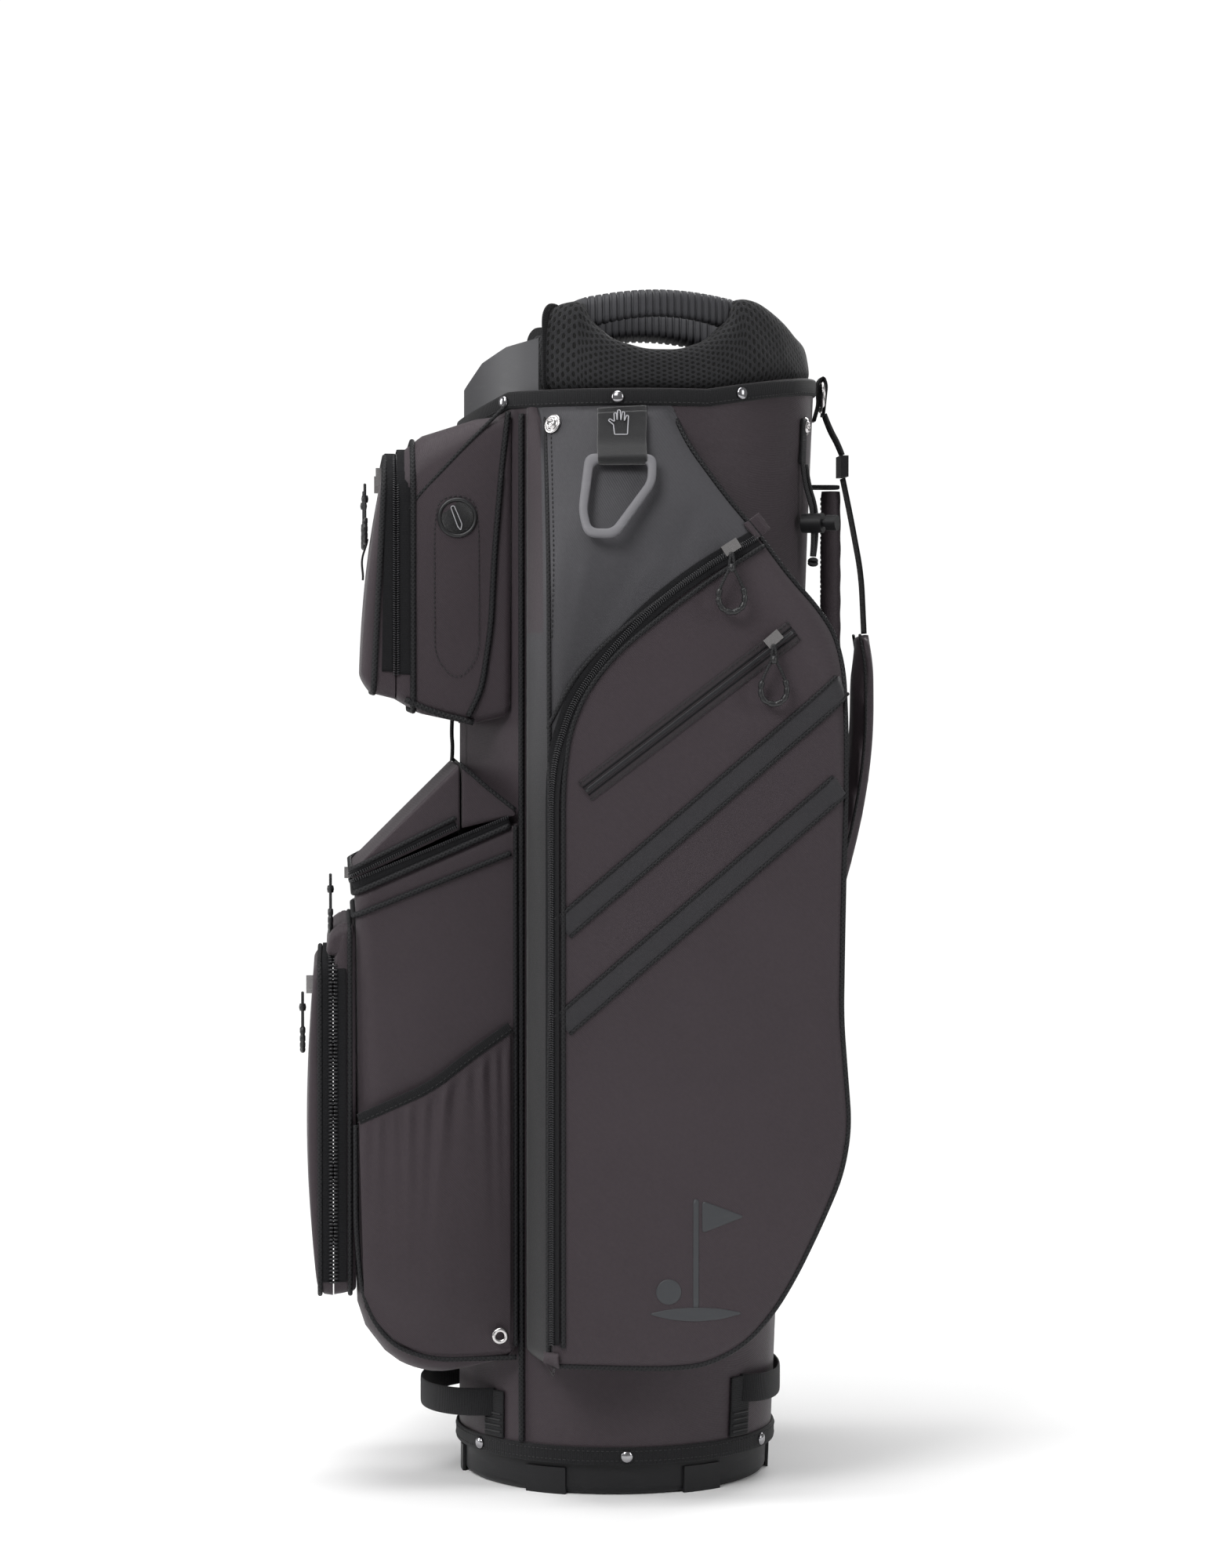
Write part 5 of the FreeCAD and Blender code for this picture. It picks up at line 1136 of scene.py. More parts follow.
def make_valuables():
    """The pocket by the mouth, its folding front, their zip and pipings, the pen sleeve and the loop."""
    crown = both(side_crown((-168, 590), (-95, 790), POCKET_HALF, 1.6), lambda p: off_tube(p, 1.0))
    body = pouch("valuables_pocket_cover", VALUABLES_BODY, POCKET_HALF, VALUABLES_ROUND, BROWN_CLOTH, "bag",
                 roll=6.0, puff=crown, depth=0.55)
    stand_in(body, "valuables_pocket", slot="tube_fabric")
    door_crown = both(swell((0, -190, 680), (92, 40, 95), 1.5, (0, -1, 0)),
                      lambda p: p + np.stack([0 * p[..., 0], -bow(p[..., 2]) * ease(-p[..., 1], 172, 186),
                                              0 * p[..., 0]], -1))
    door = pouch("valuables_door_cover", DOOR_BODY, POCKET_HALF, DOOR_ROUND, BROWN_CLOTH, "valuables_door",
                 roll=7.0, puff=door_crown, depth=0.8)
    stand_in(door, "valuables_door", slot="tube_fabric")
    for name, body_name, pair, corners, grow in (
            ("valuables_mouth_piping", "bag", ((-157, 586.5), (-157, 786)), DOOR_CORNERS, 0.3),
            ("door_edge_piping", "valuables_door", ((-186.5, 600), (-177.5, 774.5)), (10, 32), 0.2)):
        path, out = loop_path(*pair, POCKET_HALF, corners, grow)
        piping(name, path, out, body_name, True)
    zip_run = above(VALUABLES_ZIP_END)
    path, out = loop_run(((-163.2, 590.6), (-163.2, 780.6)), POCKET_HALF, DOOR_CORNERS, 0.2, zip_run)
    stand_in(sweep("valuables_zip_tape_body", path, out, strap_section(11, 0.8), ZIP_TAPE, "bag"),
             slot="webbing")
    path, out = loop_run(((-176.5, 596), (-173.8, 777.5)), POCKET_HALF, DOOR_CORNERS, 0.2, zip_run)
    stand_in(sweep("valuables_zip_tape_door", path, out, strap_section(8, 0.8), ZIP_TAPE, "valuables_door"),
             slot="webbing")
    for k, (y, body_name) in enumerate(((-168.3, "bag"), (-170.9, "valuables_door"))):
        path, out = loop_run(((y, 594), (y, 776.2)), POCKET_HALF, DOOR_CORNERS, 0.2, zip_run)
        stand_in(studs(f"valuables_teeth_{k}", path, out, TOOTH_PITCH, TOOTH, TEETH, body_name, (0, 0.7),
                       math.pi / 2 + (0.3 if k else -0.3)), slot="webbing")
    seam_lines()
    pen_sleeve()
    low, high = (np.array(c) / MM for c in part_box("door_loop"))
    z = np.linspace(high[2] + 3, low[2] - 3, 24)
    y = door_front(z) - 0.9 - 2.2 * np.sin(math.pi * np.linspace(0, 1, 24)) ** 2
    path = np.stack([0 * z, y, z], 1)
    stand_in(sweep("door_loop_webbing", path, -Y_AXIS, strap_section(25, 1.6), WEBBING, "valuables_door"),
             "door_loop", slot="webbing")


def bow(z):
    """How far the door's front bows out between its bottom and its top."""
    share = np.clip((z - 600) / 175, 0, 1)
    return 3.2 * np.sin(math.pi * share) ** 0.8


def door_front(z):
    """Y of the door's front face at a height."""
    return np.interp(z, [607, 772], [-195.5, -178]) - bow(z) - 1.5


def seam_lines():
    """Pipings down each side of the pocket by the tube, along its bottom and over its shoulder."""
    for side in (-1, 1):
        tag = "lr"[side > 0]
        spots = [(-86, 808), (-91, 764), (-96, 706), (-99, 648), (-106, 601), (-116, 581)]
        flat = rounded(spots, 12, 3.0)
        x = np.where(flat[:, 1] > 760, POCKET_HALF - 1.0, POCKET_HALF + 0.4)
        path = np.stack([side * x, flat[:, 0], flat[:, 1]], 1)
        path = off_tube(path, 1.5)
        piping(f"valuables_rear_piping_{tag}", path, X_AXIS * side, "bag")
        spots = rounded([(-88, 812), (-120, 780), (-152, 746), (-160, 735)], 10, 3.0)
        x = POCKET_HALF - 0.8 + 0 * spots[:, 0]
        path = np.stack([side * x, spots[:, 0], spots[:, 1]], 1)
        piping(f"shoulder_piping_{tag}", path, unit(np.array([side, 0, 0.5])), "bag", size=1.5)
        spots = rounded([(-163, 594), (-140, 584), (-112, 577)], 10, 3.0)
        path = np.stack([side * (POCKET_HALF - 0.5 + 0 * spots[:, 0]), spots[:, 0], spots[:, 1]], 1)
        piping(f"valuables_low_piping_{tag}", path, unit(np.array([side, 0, -0.6])), "bag")


def pen_sleeve():
    """Sewn sleeve on the +X side with a bound round opening at its top and a small pen drawn in it."""
    turn = np.linspace(0, math.tau, 60, endpoint=False)
    ring_spot = np.array([POCKET_HALF + 1.4, -124.0, 729.0])
    circle_path = ring_spot + 13.5 * np.stack([0 * turn, np.cos(turn), np.sin(turn)], 1)
    stand_in(sweep("pen_ring_edge", circle_path, X_AXIS, circle(1.5, 12), PULL_RUBBER, "bag", True),
             "pen_ring", slot="base_plastic")
    stand_in(lathe("pen_opening", [(0, 0), (13, 0), (13, 0.5), (0, 0.9)], ring_spot - 0.6 * X_AXIS, X_AXIS,
                   HOOK_TAPE, "bag"), slot="webbing")
    around = [(-141, 722), (-141, 625), (-124.5, 606), (-108, 625), (-108, 722), (-111, 742), (-124.5, 746),
              (-138, 742)]
    flat = rounded(around, 16, 2.0, True)
    path = np.stack([POCKET_HALF + 1.6 + 0.4 * np.sin(flat[:, 1] / 20), flat[:, 0], flat[:, 1]], 1)
    stand_in(stitches("pen_sleeve_stitches", path, X_AXIS, "bag", True), slot="webbing")
    pen = np.array([(-129, 737), (-126.5, 738), (-120.5, 724), (-121.5, 719.5), (-123.8, 722.5)])
    outline = rounded(pen, 1.2, 0.6, True)
    path = np.stack([POCKET_HALF + 2.1 + 0 * outline[:, 0], outline[:, 0], outline[:, 1]], 1)
    stand_in(sweep("pen_mark", path, X_AXIS, circle(0.4, 6), PALE_INK, "bag", True), slot="webbing")


# ---- lower front pocket, its lid, pouches and front pocket ----

LOWER_HALF, FRONT_HALF = 100.0, 92.0
POCKET_REAR, LID_REAR, FRONT_ZIP_END, FRONT_CORNERS = -84, -124, 158, (14, 12)
LOWER_BODY = [((-150, 86), (-84, 100)), ((-176, 100), (-80, 112)), ((-193, 122), (-79, 128)),
              ((-199.5, 142), (-79, 145)), ((-200, 300), (-79, 310)), ((-200, 428), (-79, 478)),
              ((-200, 450), (-79.5, 501))]
LID_BODY = [((-203, 466), (-122.5, 546)), ((-203, 462.5), (-122.5, 520)), ((-202.5, 459.5), (-122.5, 497))]
LID_CORNERS = ((9, 2), (9, 2))
HINGE_BODY = [((-121, 545.5), (-84, 513)), ((-121, 528), (-81, 511)), ((-121, 498), (-80.5, 507.5))]


def make_lower():
    """The big front pocket with its lid, hinge strip, lid zip, pipings and side pouches."""
    crown = both(side_crown((-198, 100), (-84, 440), LOWER_HALF, 2.2, 80.0, 1.0), lambda p: off_tube(p, 1.0))
    body = pouch("lower_pocket_cover", LOWER_BODY, LOWER_HALF, ((30, 6), (12, 4)), BROWN_CLOTH, "bag",
                 roll=12.0, steps=44, puff=crown, depth=0.35)
    stand_in(body, "lower_pocket", slot="tube_fabric")
    stand_in(pouch("lid_cover", LID_BODY, LOWER_HALF, LID_CORNERS, BROWN_CLOTH, "lid", roll=3.0, steps=8,
                   puff=swell((0, -165, 505), (98, 60, 60), 2.0, (0, -0.7, 0.7)), depth=0.8),
             "lid", slot="tube_fabric")
    stand_in(pouch("lid_hinge_cover", HINGE_BODY, LOWER_HALF, ((2, 2), (2, 2)), BROWN_CLOTH, "bag", roll=2.5,
                   steps=8, puff=lambda p: off_tube(p, 1.0), depth=0.5), "lid_hinge_panel",
             slot="tube_fabric")
    for k, pair in enumerate((((-200.4, 450), (-80, 502)), ((-200.4, 433), (-80, 481)))):
        path, out = loop_run(pair, LOWER_HALF, (12, 4), 0.3, ahead_of(POCKET_REAR))
        piping(f"lower_band_piping_{k}", path, out, "bag")
    for k, (pair, width, rear, body_name) in enumerate((
            (((-201.5, 455.5), (-80, 505)), 9, POCKET_REAR, "bag"),
            (((-203.5, 464), (-123, 501.5)), 5, LID_REAR, "lid"))):
        path, out = loop_run(pair, LOWER_HALF, (9, 2), 0.3, ahead_of(rear))
        stand_in(sweep(f"lid_zip_tape_{k}", path, out, strap_section(width, 0.8), ZIP_TAPE, body_name),
                 slot="webbing")
        stand_in(studs(f"lid_zip_teeth_{k}", path, out, TOOTH_PITCH, TOOTH, TEETH, body_name,
                       ((width / 2 - 1) * (1 if k else -1), 0.8), math.pi / 2), slot="webbing")
    path, out = loop_run(((-203.2, 467.5), (-123, 507)), LOWER_HALF, (9, 2), 0.2, ahead_of(LID_REAR))
    piping("lid_edge_piping", path, out, "lid", size=1.7)
    for side in (-1, 1):
        tag = "lr"[side > 0]
        spots = rounded([(-81, 500), (-81, 300), (-81, 110)], 4, 4.0)
        path = off_tube(np.stack([side * (LOWER_HALF - 1 + 0 * spots[:, 0]), spots[:, 0], spots[:, 1]], 1),
                        1.5)
        piping(f"lower_rear_piping_{tag}", path, X_AXIS * side, "bag", size=1.8)
        spots = rounded([(-84, 99), (-115, 98), (-147, 98), (-174, 107), (-191, 126), (-200, 152),
                         (-204, 200), (-204, 274)], 14, 3.0)
        path = np.stack([side * (LOWER_HALF - 1.2 + 0 * spots[:, 0]), spots[:, 0] + 4, spots[:, 1] + 3], 1)
        piping(f"lower_side_piping_{tag}", path, unit(np.array([side, -0.4, -0.4])), "bag", size=1.9)
        spots = rounded([(-123, 546), (-100, 526), (-81, 511)], 3, 3.0)
        path = off_tube(np.stack([side * (LOWER_HALF - 0.6 + 0 * spots[:, 0]), spots[:, 0], spots[:, 1]], 1),
                        1.5)
        piping(f"hinge_piping_{tag}", path, unit(np.array([side, 0, 0.7])), "bag", size=1.6)
        side_pouch(side, tag)


POUCH_TOP = [(-85, 352), (-115, 331), (-144, 308), (-173, 295), (-198, 284)]
POUCH_LOW = [(-85, 106), (-115, 104), (-144, 104), (-172, 114), (-194, 140)]


def pouch_skin(side, share_u, share_v, lift=0.0):
    """Gathered side pouch: P(u, v) runs along the bound mouth and down to the bottom seam. It
    stands off the pocket by a half sine each way, with folds that fan down from the mouth."""
    top, low = rounded(POUCH_TOP, 20, 1.0), rounded(POUCH_LOW, 20, 1.0)
    u = np.clip(share_u, 0, 1)

    def at(line, k):
        marks = lengths_along(line) / lengths_along(line)[-1]
        return np.interp(u, marks, line[:, k])

    y = at(top, 0) * (1 - share_v) + at(low, 0) * share_v
    z = at(top, 1) * (1 - share_v) + at(low, 1) * share_v
    ends = np.sin(math.pi * np.clip(u * 0.94 + 0.03, 0, 1)) ** 0.5
    stand = 1.8 + 7.0 * ends * (0.35 + 0.65 * np.sin(math.pi * np.clip(share_v * 0.8 + 0.12, 0, 1)))
    fan = u * 19 + 0.8 * np.sin(u * 7) + share_v * 1.6 * np.sin(u * 11)
    folds = (np.sin(fan * math.pi) * np.exp(-share_v * 5.0)
             + 0.5 * np.sin(u * 27 + 2.0) * np.exp(-share_v * 2.6))
    fade = 1 - ease(share_v, 0.8, 1.0)
    x = LOWER_HALF + 0.6 + stand * fade + 1.9 * folds * ends * ease(share_v, 0.03, 0.1) + lift
    return np.stack([side * x, y, z], -1)


def side_pouch(side, tag):
    """One gathered pouch as two skins joined at the edges, its bound mouth, and the drain eyelet."""
    u, v = np.linspace(0, 1, 230)[:, None], np.linspace(0, 1, 90)[None, :]
    outer = pouch_skin(side, u, v)
    inner = pouch_skin(side, u, v[:, ::-1], -1.4)
    inner[:, -1] = outer[:, 0] - side * 1.2 * X_AXIS
    grid = np.concatenate([outer, inner], 1)
    ends = [np.broadcast_to(grid[k].mean(0), (1, grid.shape[1], 3)) for k in (0, -1)]
    grid = np.concatenate([ends[0], grid, ends[1]])
    stand_in(surface(f"side_pouch_{tag}", grid.transpose(1, 0, 2), BROWN_CLOTH, "bag", (True, False),
                     (True, True)), *(["side_pouches"] if side > 0 else []), slot="tube_fabric")
    line = np.linspace(0, 1, 120)
    path = pouch_skin(side, line, 0 * line, 0.2)
    stand_in(sweep(f"pouch_binding_{tag}", path - 2.4 * Z_AXIS, X_AXIS * side, strap_section(8, 2.2, -1.0),
                   WEBBING, "bag"), slot="webbing")
    stand_in(stitches(f"pouch_stitches_{tag}", path - 4.4 * Z_AXIS + side * 1.4 * X_AXIS, X_AXIS * side,
                      "bag"), slot="webbing")
    eyelet = [(2.6, -0.4), (3.4, 1.2), (5.2, 1.2), (6.2, 0.4), (6.2, -0.4)]
    ring = lathe(f"drain_eyelet_{tag}", eyelet, (side * 107.2, -93, 119), X_AXIS * side, BRIGHT_METAL, "bag",
                 28)
    stand_in(ring, *(["drain_eyelets"] if side > 0 else []), slot="gunmetal")


FRONT_FRAME = [((-200, 150), (-200, 425)), ((-210, 148), (-210, 427)), ((-216.6, 147), (-216.6, 400))]
FRONT_DOOR = [((-231.5, 152), (-231.5, 394)), ((-226, 147.5), (-226, 398)), ((-217.4, 146.5), (-217.4, 399))]


def front_bow(points):
    """The door's face stands furthest out below its middle and falls in to its foot."""
    z = points[..., 2]
    share = np.clip((z - 150) / 244, 0, 1)
    out = 4.6 * np.sin(math.pi * share ** 0.85) - 3.0 * (1 - share) ** 3
    mask = ease(-points[..., 1], 218, 231)
    moved = points.copy()
    moved[..., 1] -= out * mask
    return moved


def make_front():
    """The outer front pocket: its frame, the cap over the zip, the door and the coarse zip."""
    stand_in(pouch("front_pocket_cover", FRONT_FRAME, FRONT_HALF, (FRONT_CORNERS, FRONT_CORNERS), BROWN_CLOTH,
                   "bag", roll=3.0, steps=10, depth=0.8), "front_pocket", slot="tube_fabric")
    cap = [((-222.5, 403), (-219, 420)), ((-214, 402), (-212, 425)), ((-202, 402), (-202, 426))]
    stand_in(pouch("front_cap", cap, FRONT_HALF - 0.5, ((5, 8), (5, 8)), BROWN_CLOTH, "bag", roll=4.0,
                   steps=8, depth=0.1), slot="tube_fabric")
    stand_in(pouch("front_door_cover", FRONT_DOOR, FRONT_HALF, (FRONT_CORNERS, FRONT_CORNERS), BROWN_CLOTH,
                   "front_door", roll=4.0, steps=10, depth=0.75, puff=both(front_bow,
                                                                           swell((0, -232, 270),
                                                                                 (90, 30, 120), 1.6,
                                                                                 (0, -1, 0)))), "front_door",
             slot="tube_fabric")
    for k, (y, width, body_name) in enumerate(((-211.5, 9, "bag"), (-221.5, 7, "front_door"))):
        path, out = loop_run(((y, 147), (y, 400)), FRONT_HALF, FRONT_CORNERS, 0.2, above(FRONT_ZIP_END))
        stand_in(sweep(f"front_zip_tape_{k}", path, out, strap_section(width, 1.0), ZIP_TAPE, body_name),
                 slot="webbing")
        stand_in(studs(f"front_zip_teeth_{k}", path, out, 2.9, (3.6, 1.7, 2.0), TEETH, body_name,
                       ((width / 2 - 0.4) * (1 if k else -1), 0.7), math.pi / 2), slot="webbing")
    for name, body_name, y, top in (("front_frame_piping", "bag", -204.5, 425),
                                    ("front_door_piping", "front_door", -227.0, 398)):
        path, out = loop_path((y, 148.5), (y, top), FRONT_HALF, FRONT_CORNERS, 0.0)
        piping(name, path, out, body_name, True, 1.9)


make_pulls()
make_valuables()
make_lower()
make_front()


# ---- mouth: padded collar, grips, tab and ring ----

COLLAR_TOP = [(-69, 872), (-63, 881), (-52, 887), (-33, 890), (-27, 874), (-10, 860), (15, 853), (40, 853),
              (62, 860), (80, 876), (86, 893), (100, 892), (112, 886), (124, 877), (134, 869), (150, 862)]
COLLAR_START, COLLAR_STEPS = -37.0, 340


def collar_top(y):
    """Height of the collar's top, dipping under the grips."""
    line = rounded(COLLAR_TOP, 7, 1.5)
    return np.interp(y, line[:, 0], line[:, 1])


def make_collar():
    """Padded ring: P(a, s) carries a plump section round the mouth from one front end to the other.
    The section leans out to the rim at its foot; its ends are drawn in like a bolster's."""
    spread = math.radians(180 - 2 * COLLAR_START) / 2
    turn = math.pi / 2 + np.linspace(-spread, spread, COLLAR_STEPS)[:, None]
    section = np.linspace(0, math.tau, 64, endpoint=False)[None, :]
    y = centre(RIM) + 124 * np.sin(turn)
    top, foot = collar_top(y), rim(y) + 0.6
    middle, half = (top + foot) / 2, (top - foot) / 2
    square = 0.62
    side = np.sign(np.cos(section)) * np.abs(np.cos(section)) ** square
    rise = np.sign(np.sin(section)) * np.abs(np.sin(section)) ** square
    share = np.linspace(0, 1, COLLAR_STEPS)
    end = np.minimum(1, np.minimum(share, share[::-1])[:, None] * COLLAR_STEPS / 9.0)
    plump = np.sqrt(1 - (1 - end) ** 2) * 0.2 + 0.8
    lean = 4.5 * (1 - (rise + 1) / 2)
    reach = 118.5 + lean + 11.5 * side * plump + 0.8 * slack(turn * 120, middle + half * rise, 38.0, 0.7)
    z = middle + half * rise * plump
    grid = np.stack([reach * np.cos(turn), centre(RIM) + reach * np.sin(turn), z + 0 * reach], -1)
    caps = [grid[k].mean(0) * np.ones((1, grid.shape[1], 3)) for k in (0, -1)]
    grid = np.concatenate([caps[0], grid, caps[1]]).transpose(1, 0, 2)
    pad = stand_in(surface("mouth_pad", grid, MESH, "bag", (True, False), (True, True)), "collar_pad",
                   slot="mesh")
    angle = math.pi / 2 + np.array([-spread, spread]) * 0.988
    for k, a in enumerate(angle):
        y_end = centre(RIM) + 124 * math.sin(a)
        top_end, low_end = float(collar_top(y_end)), float(rim(np.array(y_end)))
        loop = rect_loop(11.6, low_end + 1.5, top_end - 1, 9, 10)
        x = (120 + loop[:, 0]) * math.cos(a)
        path = np.stack([x, centre(RIM) + (120 + loop[:, 0]) * math.sin(a), loop[:, 1]], 1)
        out = np.array([math.cos(a), math.sin(a), 0.0])
        stand_in(sweep(f"mouth_pad_binding_{k}", evenly(path, 90, True),
                       np.array([-math.sin(a), math.cos(a), 0.0]), strap_section(8, 1.8, -0.6), WEBBING,
                       "bag", True), slot="webbing")


def make_grips():
    """Handle over the collar's dip: a broad rounded bar along Y, with cross ribs as a square wave
    on its size and plain blocks at both ends."""
    y = np.linspace(-36, 89, 480)
    share = (y + 36) / 125
    top = 892.5 + 6.5 * np.sin(math.pi * share)
    low = 866 + 12.5 * np.sin(math.pi * share) ** 0.8
    inside = ease(share, 0.055, 0.065) * (1 - ease(share, 0.935, 0.945))
    rib = np.clip(np.sin((y + 36) * math.tau / 5.3) * 3 + 1.2, -1, 1)
    scale = 1 - inside * 0.085 * (0.5 - 0.5 * rib) - 0.12 * (1 - inside) * np.abs(2 * share - 1) ** 12
    turn = np.linspace(0, math.tau, 40, endpoint=False)
    flat = np.stack([np.sign(np.cos(turn)) * np.abs(np.cos(turn)) ** 0.42,
                     np.sign(np.sin(turn)) * np.abs(np.sin(turn)) ** 0.5], 1)
    for side in (-1, 1):
        name = "left" if side < 0 else "right"
        bend = np.sqrt(np.maximum(120.5 ** 2 - (y - centre(RIM)) ** 2, 0)) - 19.5
        x = bend[:, None] + 17.5 * flat[None, :, 0] * scale[:, None]
        z = ((top + low) / 2)[:, None] + ((top - low) / 2 * scale)[:, None] * flat[None, :, 1]
        z = z - 0.10 * (x - bend[:, None])
        grid = np.stack([side * x, np.broadcast_to(y[:, None], x.shape), z], -1)
        caps = [grid[k].mean(0) * np.ones((1, grid.shape[1], 3)) for k in (0, -1)]
        grid = np.concatenate([caps[0], grid, caps[1]]).transpose(1, 0, 2)
        stand_in(surface(f"grip_{name}_ribbed", grid, GRIP_RUBBER, "bag", (True, False), (True, True)),
                 f"grip_{name}", slot="grip_rubber")


TAB_AXIS, TAB_OUT = np.array([0.13917, 0.99027, 0.0]), np.array([0.99027, -0.13917, 0.0])
RING_PIVOT = np.array([157.588, -5.148, 770.142])


def make_tab():
    """Hook-and-loop tab: a strap down the pocket's face, round the ring's bar and up over itself."""
    wall = side_point([(-4, 808), (-4, 796), (-5, 784)], 1, 1.3)[0]
    bar = [RING_PIVOT + 4.2 * (math.cos(a) * TAB_OUT + math.sin(a) * Z_AXIS)
           for a in np.radians([180, 225, 270, 315, 360])]
    outer = side_point([(-5, 781), (-4, 795), (-4, 803)], 1, 4.6)[0]
    path = np.vstack([wall, bar, outer[:1] + (1.5, 0, 0), outer[1:]])
    path = rounded(path, 5.0, 1.2)
    tangent = unit(np.gradient(path, axis=0))
    out = unit(np.cross(TAB_AXIS, tangent))
    stand_in(sweep("gear_tab_strap", path, out, strap_section(36, 2.2, -1.1), HOOK_TAPE, "bag"), "gear_tab",
             slot="webbing")
    glove_mark()


def glove_mark():
    """A plain hand printed on the tab: a palm with four fingers and a thumb, as thin raised strokes."""
    hand = [(-4.5, -8), (-5, 0), (-8.5, 3.5), (-7.5, 5), (-4.2, 2.5), (-4.4, 9.5), (-2.8, 9.8), (-2.3, 3.5),
            (-1.8, 11.5), (0, 11.5), (0.3, 3.5), (1.4, 10.5), (3, 10.2), (2.7, 3), (4.4, 8), (5.7, 7.3),
            (4.6, -8)]
    flat = rounded(hand, 0.7, 0.5, True)
    spots, out = side_point(np.stack([-5 + flat[:, 0], 793 + flat[:, 1] * 0.9], 1), 1, 6.6)
    stand_in(sweep("glove_mark", spots, out, circle(0.45, 6), PALE_INK, "bag", True), slot="webbing")


def make_ring():
    """Trapezoid gear ring: an outer and an inner outline, the bar at the top, the wall between them
    rounded. It hangs from the tab and leans with the pocket's face."""
    outer = rounded([(-27.5, 3.4), (25, 2.6), (25, -20), (-3, -63), (-26, -62), (-31.5, -42)], 8.0, 1.0, True)
    inner = rounded([(-21, -4), (18.5, -4), (18.5, -18.5), (-6.5, -56), (-21.5, -55.5), (-25, -41)], 5.0, 1.0,
                    True)
    count = 220
    outer, inner = evenly(outer, count, True), evenly(inner, count, True)
    middle, half = (outer + inner) / 2, (outer - inner) / 2
    turn = np.linspace(0, math.tau, 20, endpoint=False)
    across = np.sign(np.cos(turn)) * np.abs(np.cos(turn)) ** 0.55
    thick = 2.3 * np.sign(np.sin(turn)) * np.abs(np.sin(turn)) ** 0.55
    flat = middle[:, None] + across[None, :, None] * half[:, None]
    lean = math.atan(FLARE_SLOPE - 0.0195)
    up = math.cos(lean) * Z_AXIS - math.sin(lean) * TAB_OUT
    out = math.cos(lean) * TAB_OUT + math.sin(lean) * Z_AXIS
    grid = RING_PIVOT + flat[..., :1] * TAB_AXIS + flat[..., 1:] * up + thick[None, :, None] * out
    return surface("gear_ring_bar", grid, RING_PLASTIC, "gear_ring", (True, True))


def make_snaps():
    """Press snaps for the rain hood: one on each side pocket and one on each side behind."""
    for k, side in enumerate((1, -1)):
        path, out = side_point([(-54, 797)], side, 0.4)
        piece = lathe(f"hood_snap_{k}", SNAP, path[0], out[0], BRIGHT_METAL, "bag", 36)
        stand_in(piece, *(["hood_snaps"] if k == 0 else []), slot="gunmetal")
    for side in (-1, 1):
        angle = math.radians(66)
        turn = angle if side > 0 else math.pi - angle
        spot = on_tube(np.array(turn), 800.0, 0.8)
        out = (math.cos(turn), math.sin(turn), 0.0)
        stand_in(lathe(f"rear_snap_{'lr'[side > 0]}", SNAP, spot, out, BRIGHT_METAL, "bag", 36),
                 slot="gunmetal")


# ---- back: strap, carry handle and lifting handles ----

def make_strap():
    """Upper tape from the adjuster to the pad, the padded strap, and the tape down to its ring."""
    upper = rounded([(0, 176.4, 764), (0, 182.5, 735), (0, 191.0, 690), (0, 193.2, 644)], 16, 3.0)
    stand_in(sweep("strap_tape_upper", upper, Y_AXIS, strap_section(25, 1.8), WEBBING, "bag"),
             "strap_webbing", slot="webbing")
    lower = rounded([(0, 151.5, 394), (0, 149.5, 375), (0, 144.5, 350), (0, 141.8, 336)], 12, 3.0)
    stand_in(sweep("strap_tape_lower", lower, Y_AXIS, strap_section(25, 1.8), WEBBING, "bag"), slot="webbing")
    strap_pad()
    tab = rounded([(0, 154.6, 808), (0, 158.6, 822), (0, 157.4, 838), (0, 161.4, 843), (0, 164.2, 836),
                   (0, 161.6, 812)], 4, 1.5)
    tangent = unit(np.gradient(tab, axis=0))
    tabs = sweep("strap_anchor_upper", tab, np.cross(X_AXIS, tangent), strap_section(20, 1.8, -0.9), WEBBING,
                 "bag")
    stand_in(tabs, "back_tabs", slot="webbing")
    low = radius(322.0) + centre(322.0)
    anchor = rounded([(0, low + 0.8, 303), (0, low + 1.2, 318), (0, low + 6.4, 323), (0, low + 4.6, 327),
                      (0, low + 1.4, 332), (0, low + 0.9, 346)], 3, 1.5)
    tangent = unit(np.gradient(anchor, axis=0))
    stand_in(sweep("strap_anchor_lower", anchor, np.cross(tangent, X_AXIS), strap_section(20, 1.6, -0.2),
                   WEBBING, "bag"), slot="webbing")
    umbrella = on_tube(np.radians(64.0), np.linspace(806, 771.5, 20), 1.1)
    out = np.array([math.cos(math.radians(64)), math.sin(math.radians(64)), 0.0])
    stand_in(sweep("umbrella_anchor", umbrella, out, strap_section(11, 2.0, -0.4), WEBBING, "bag"),
             slot="webbing")


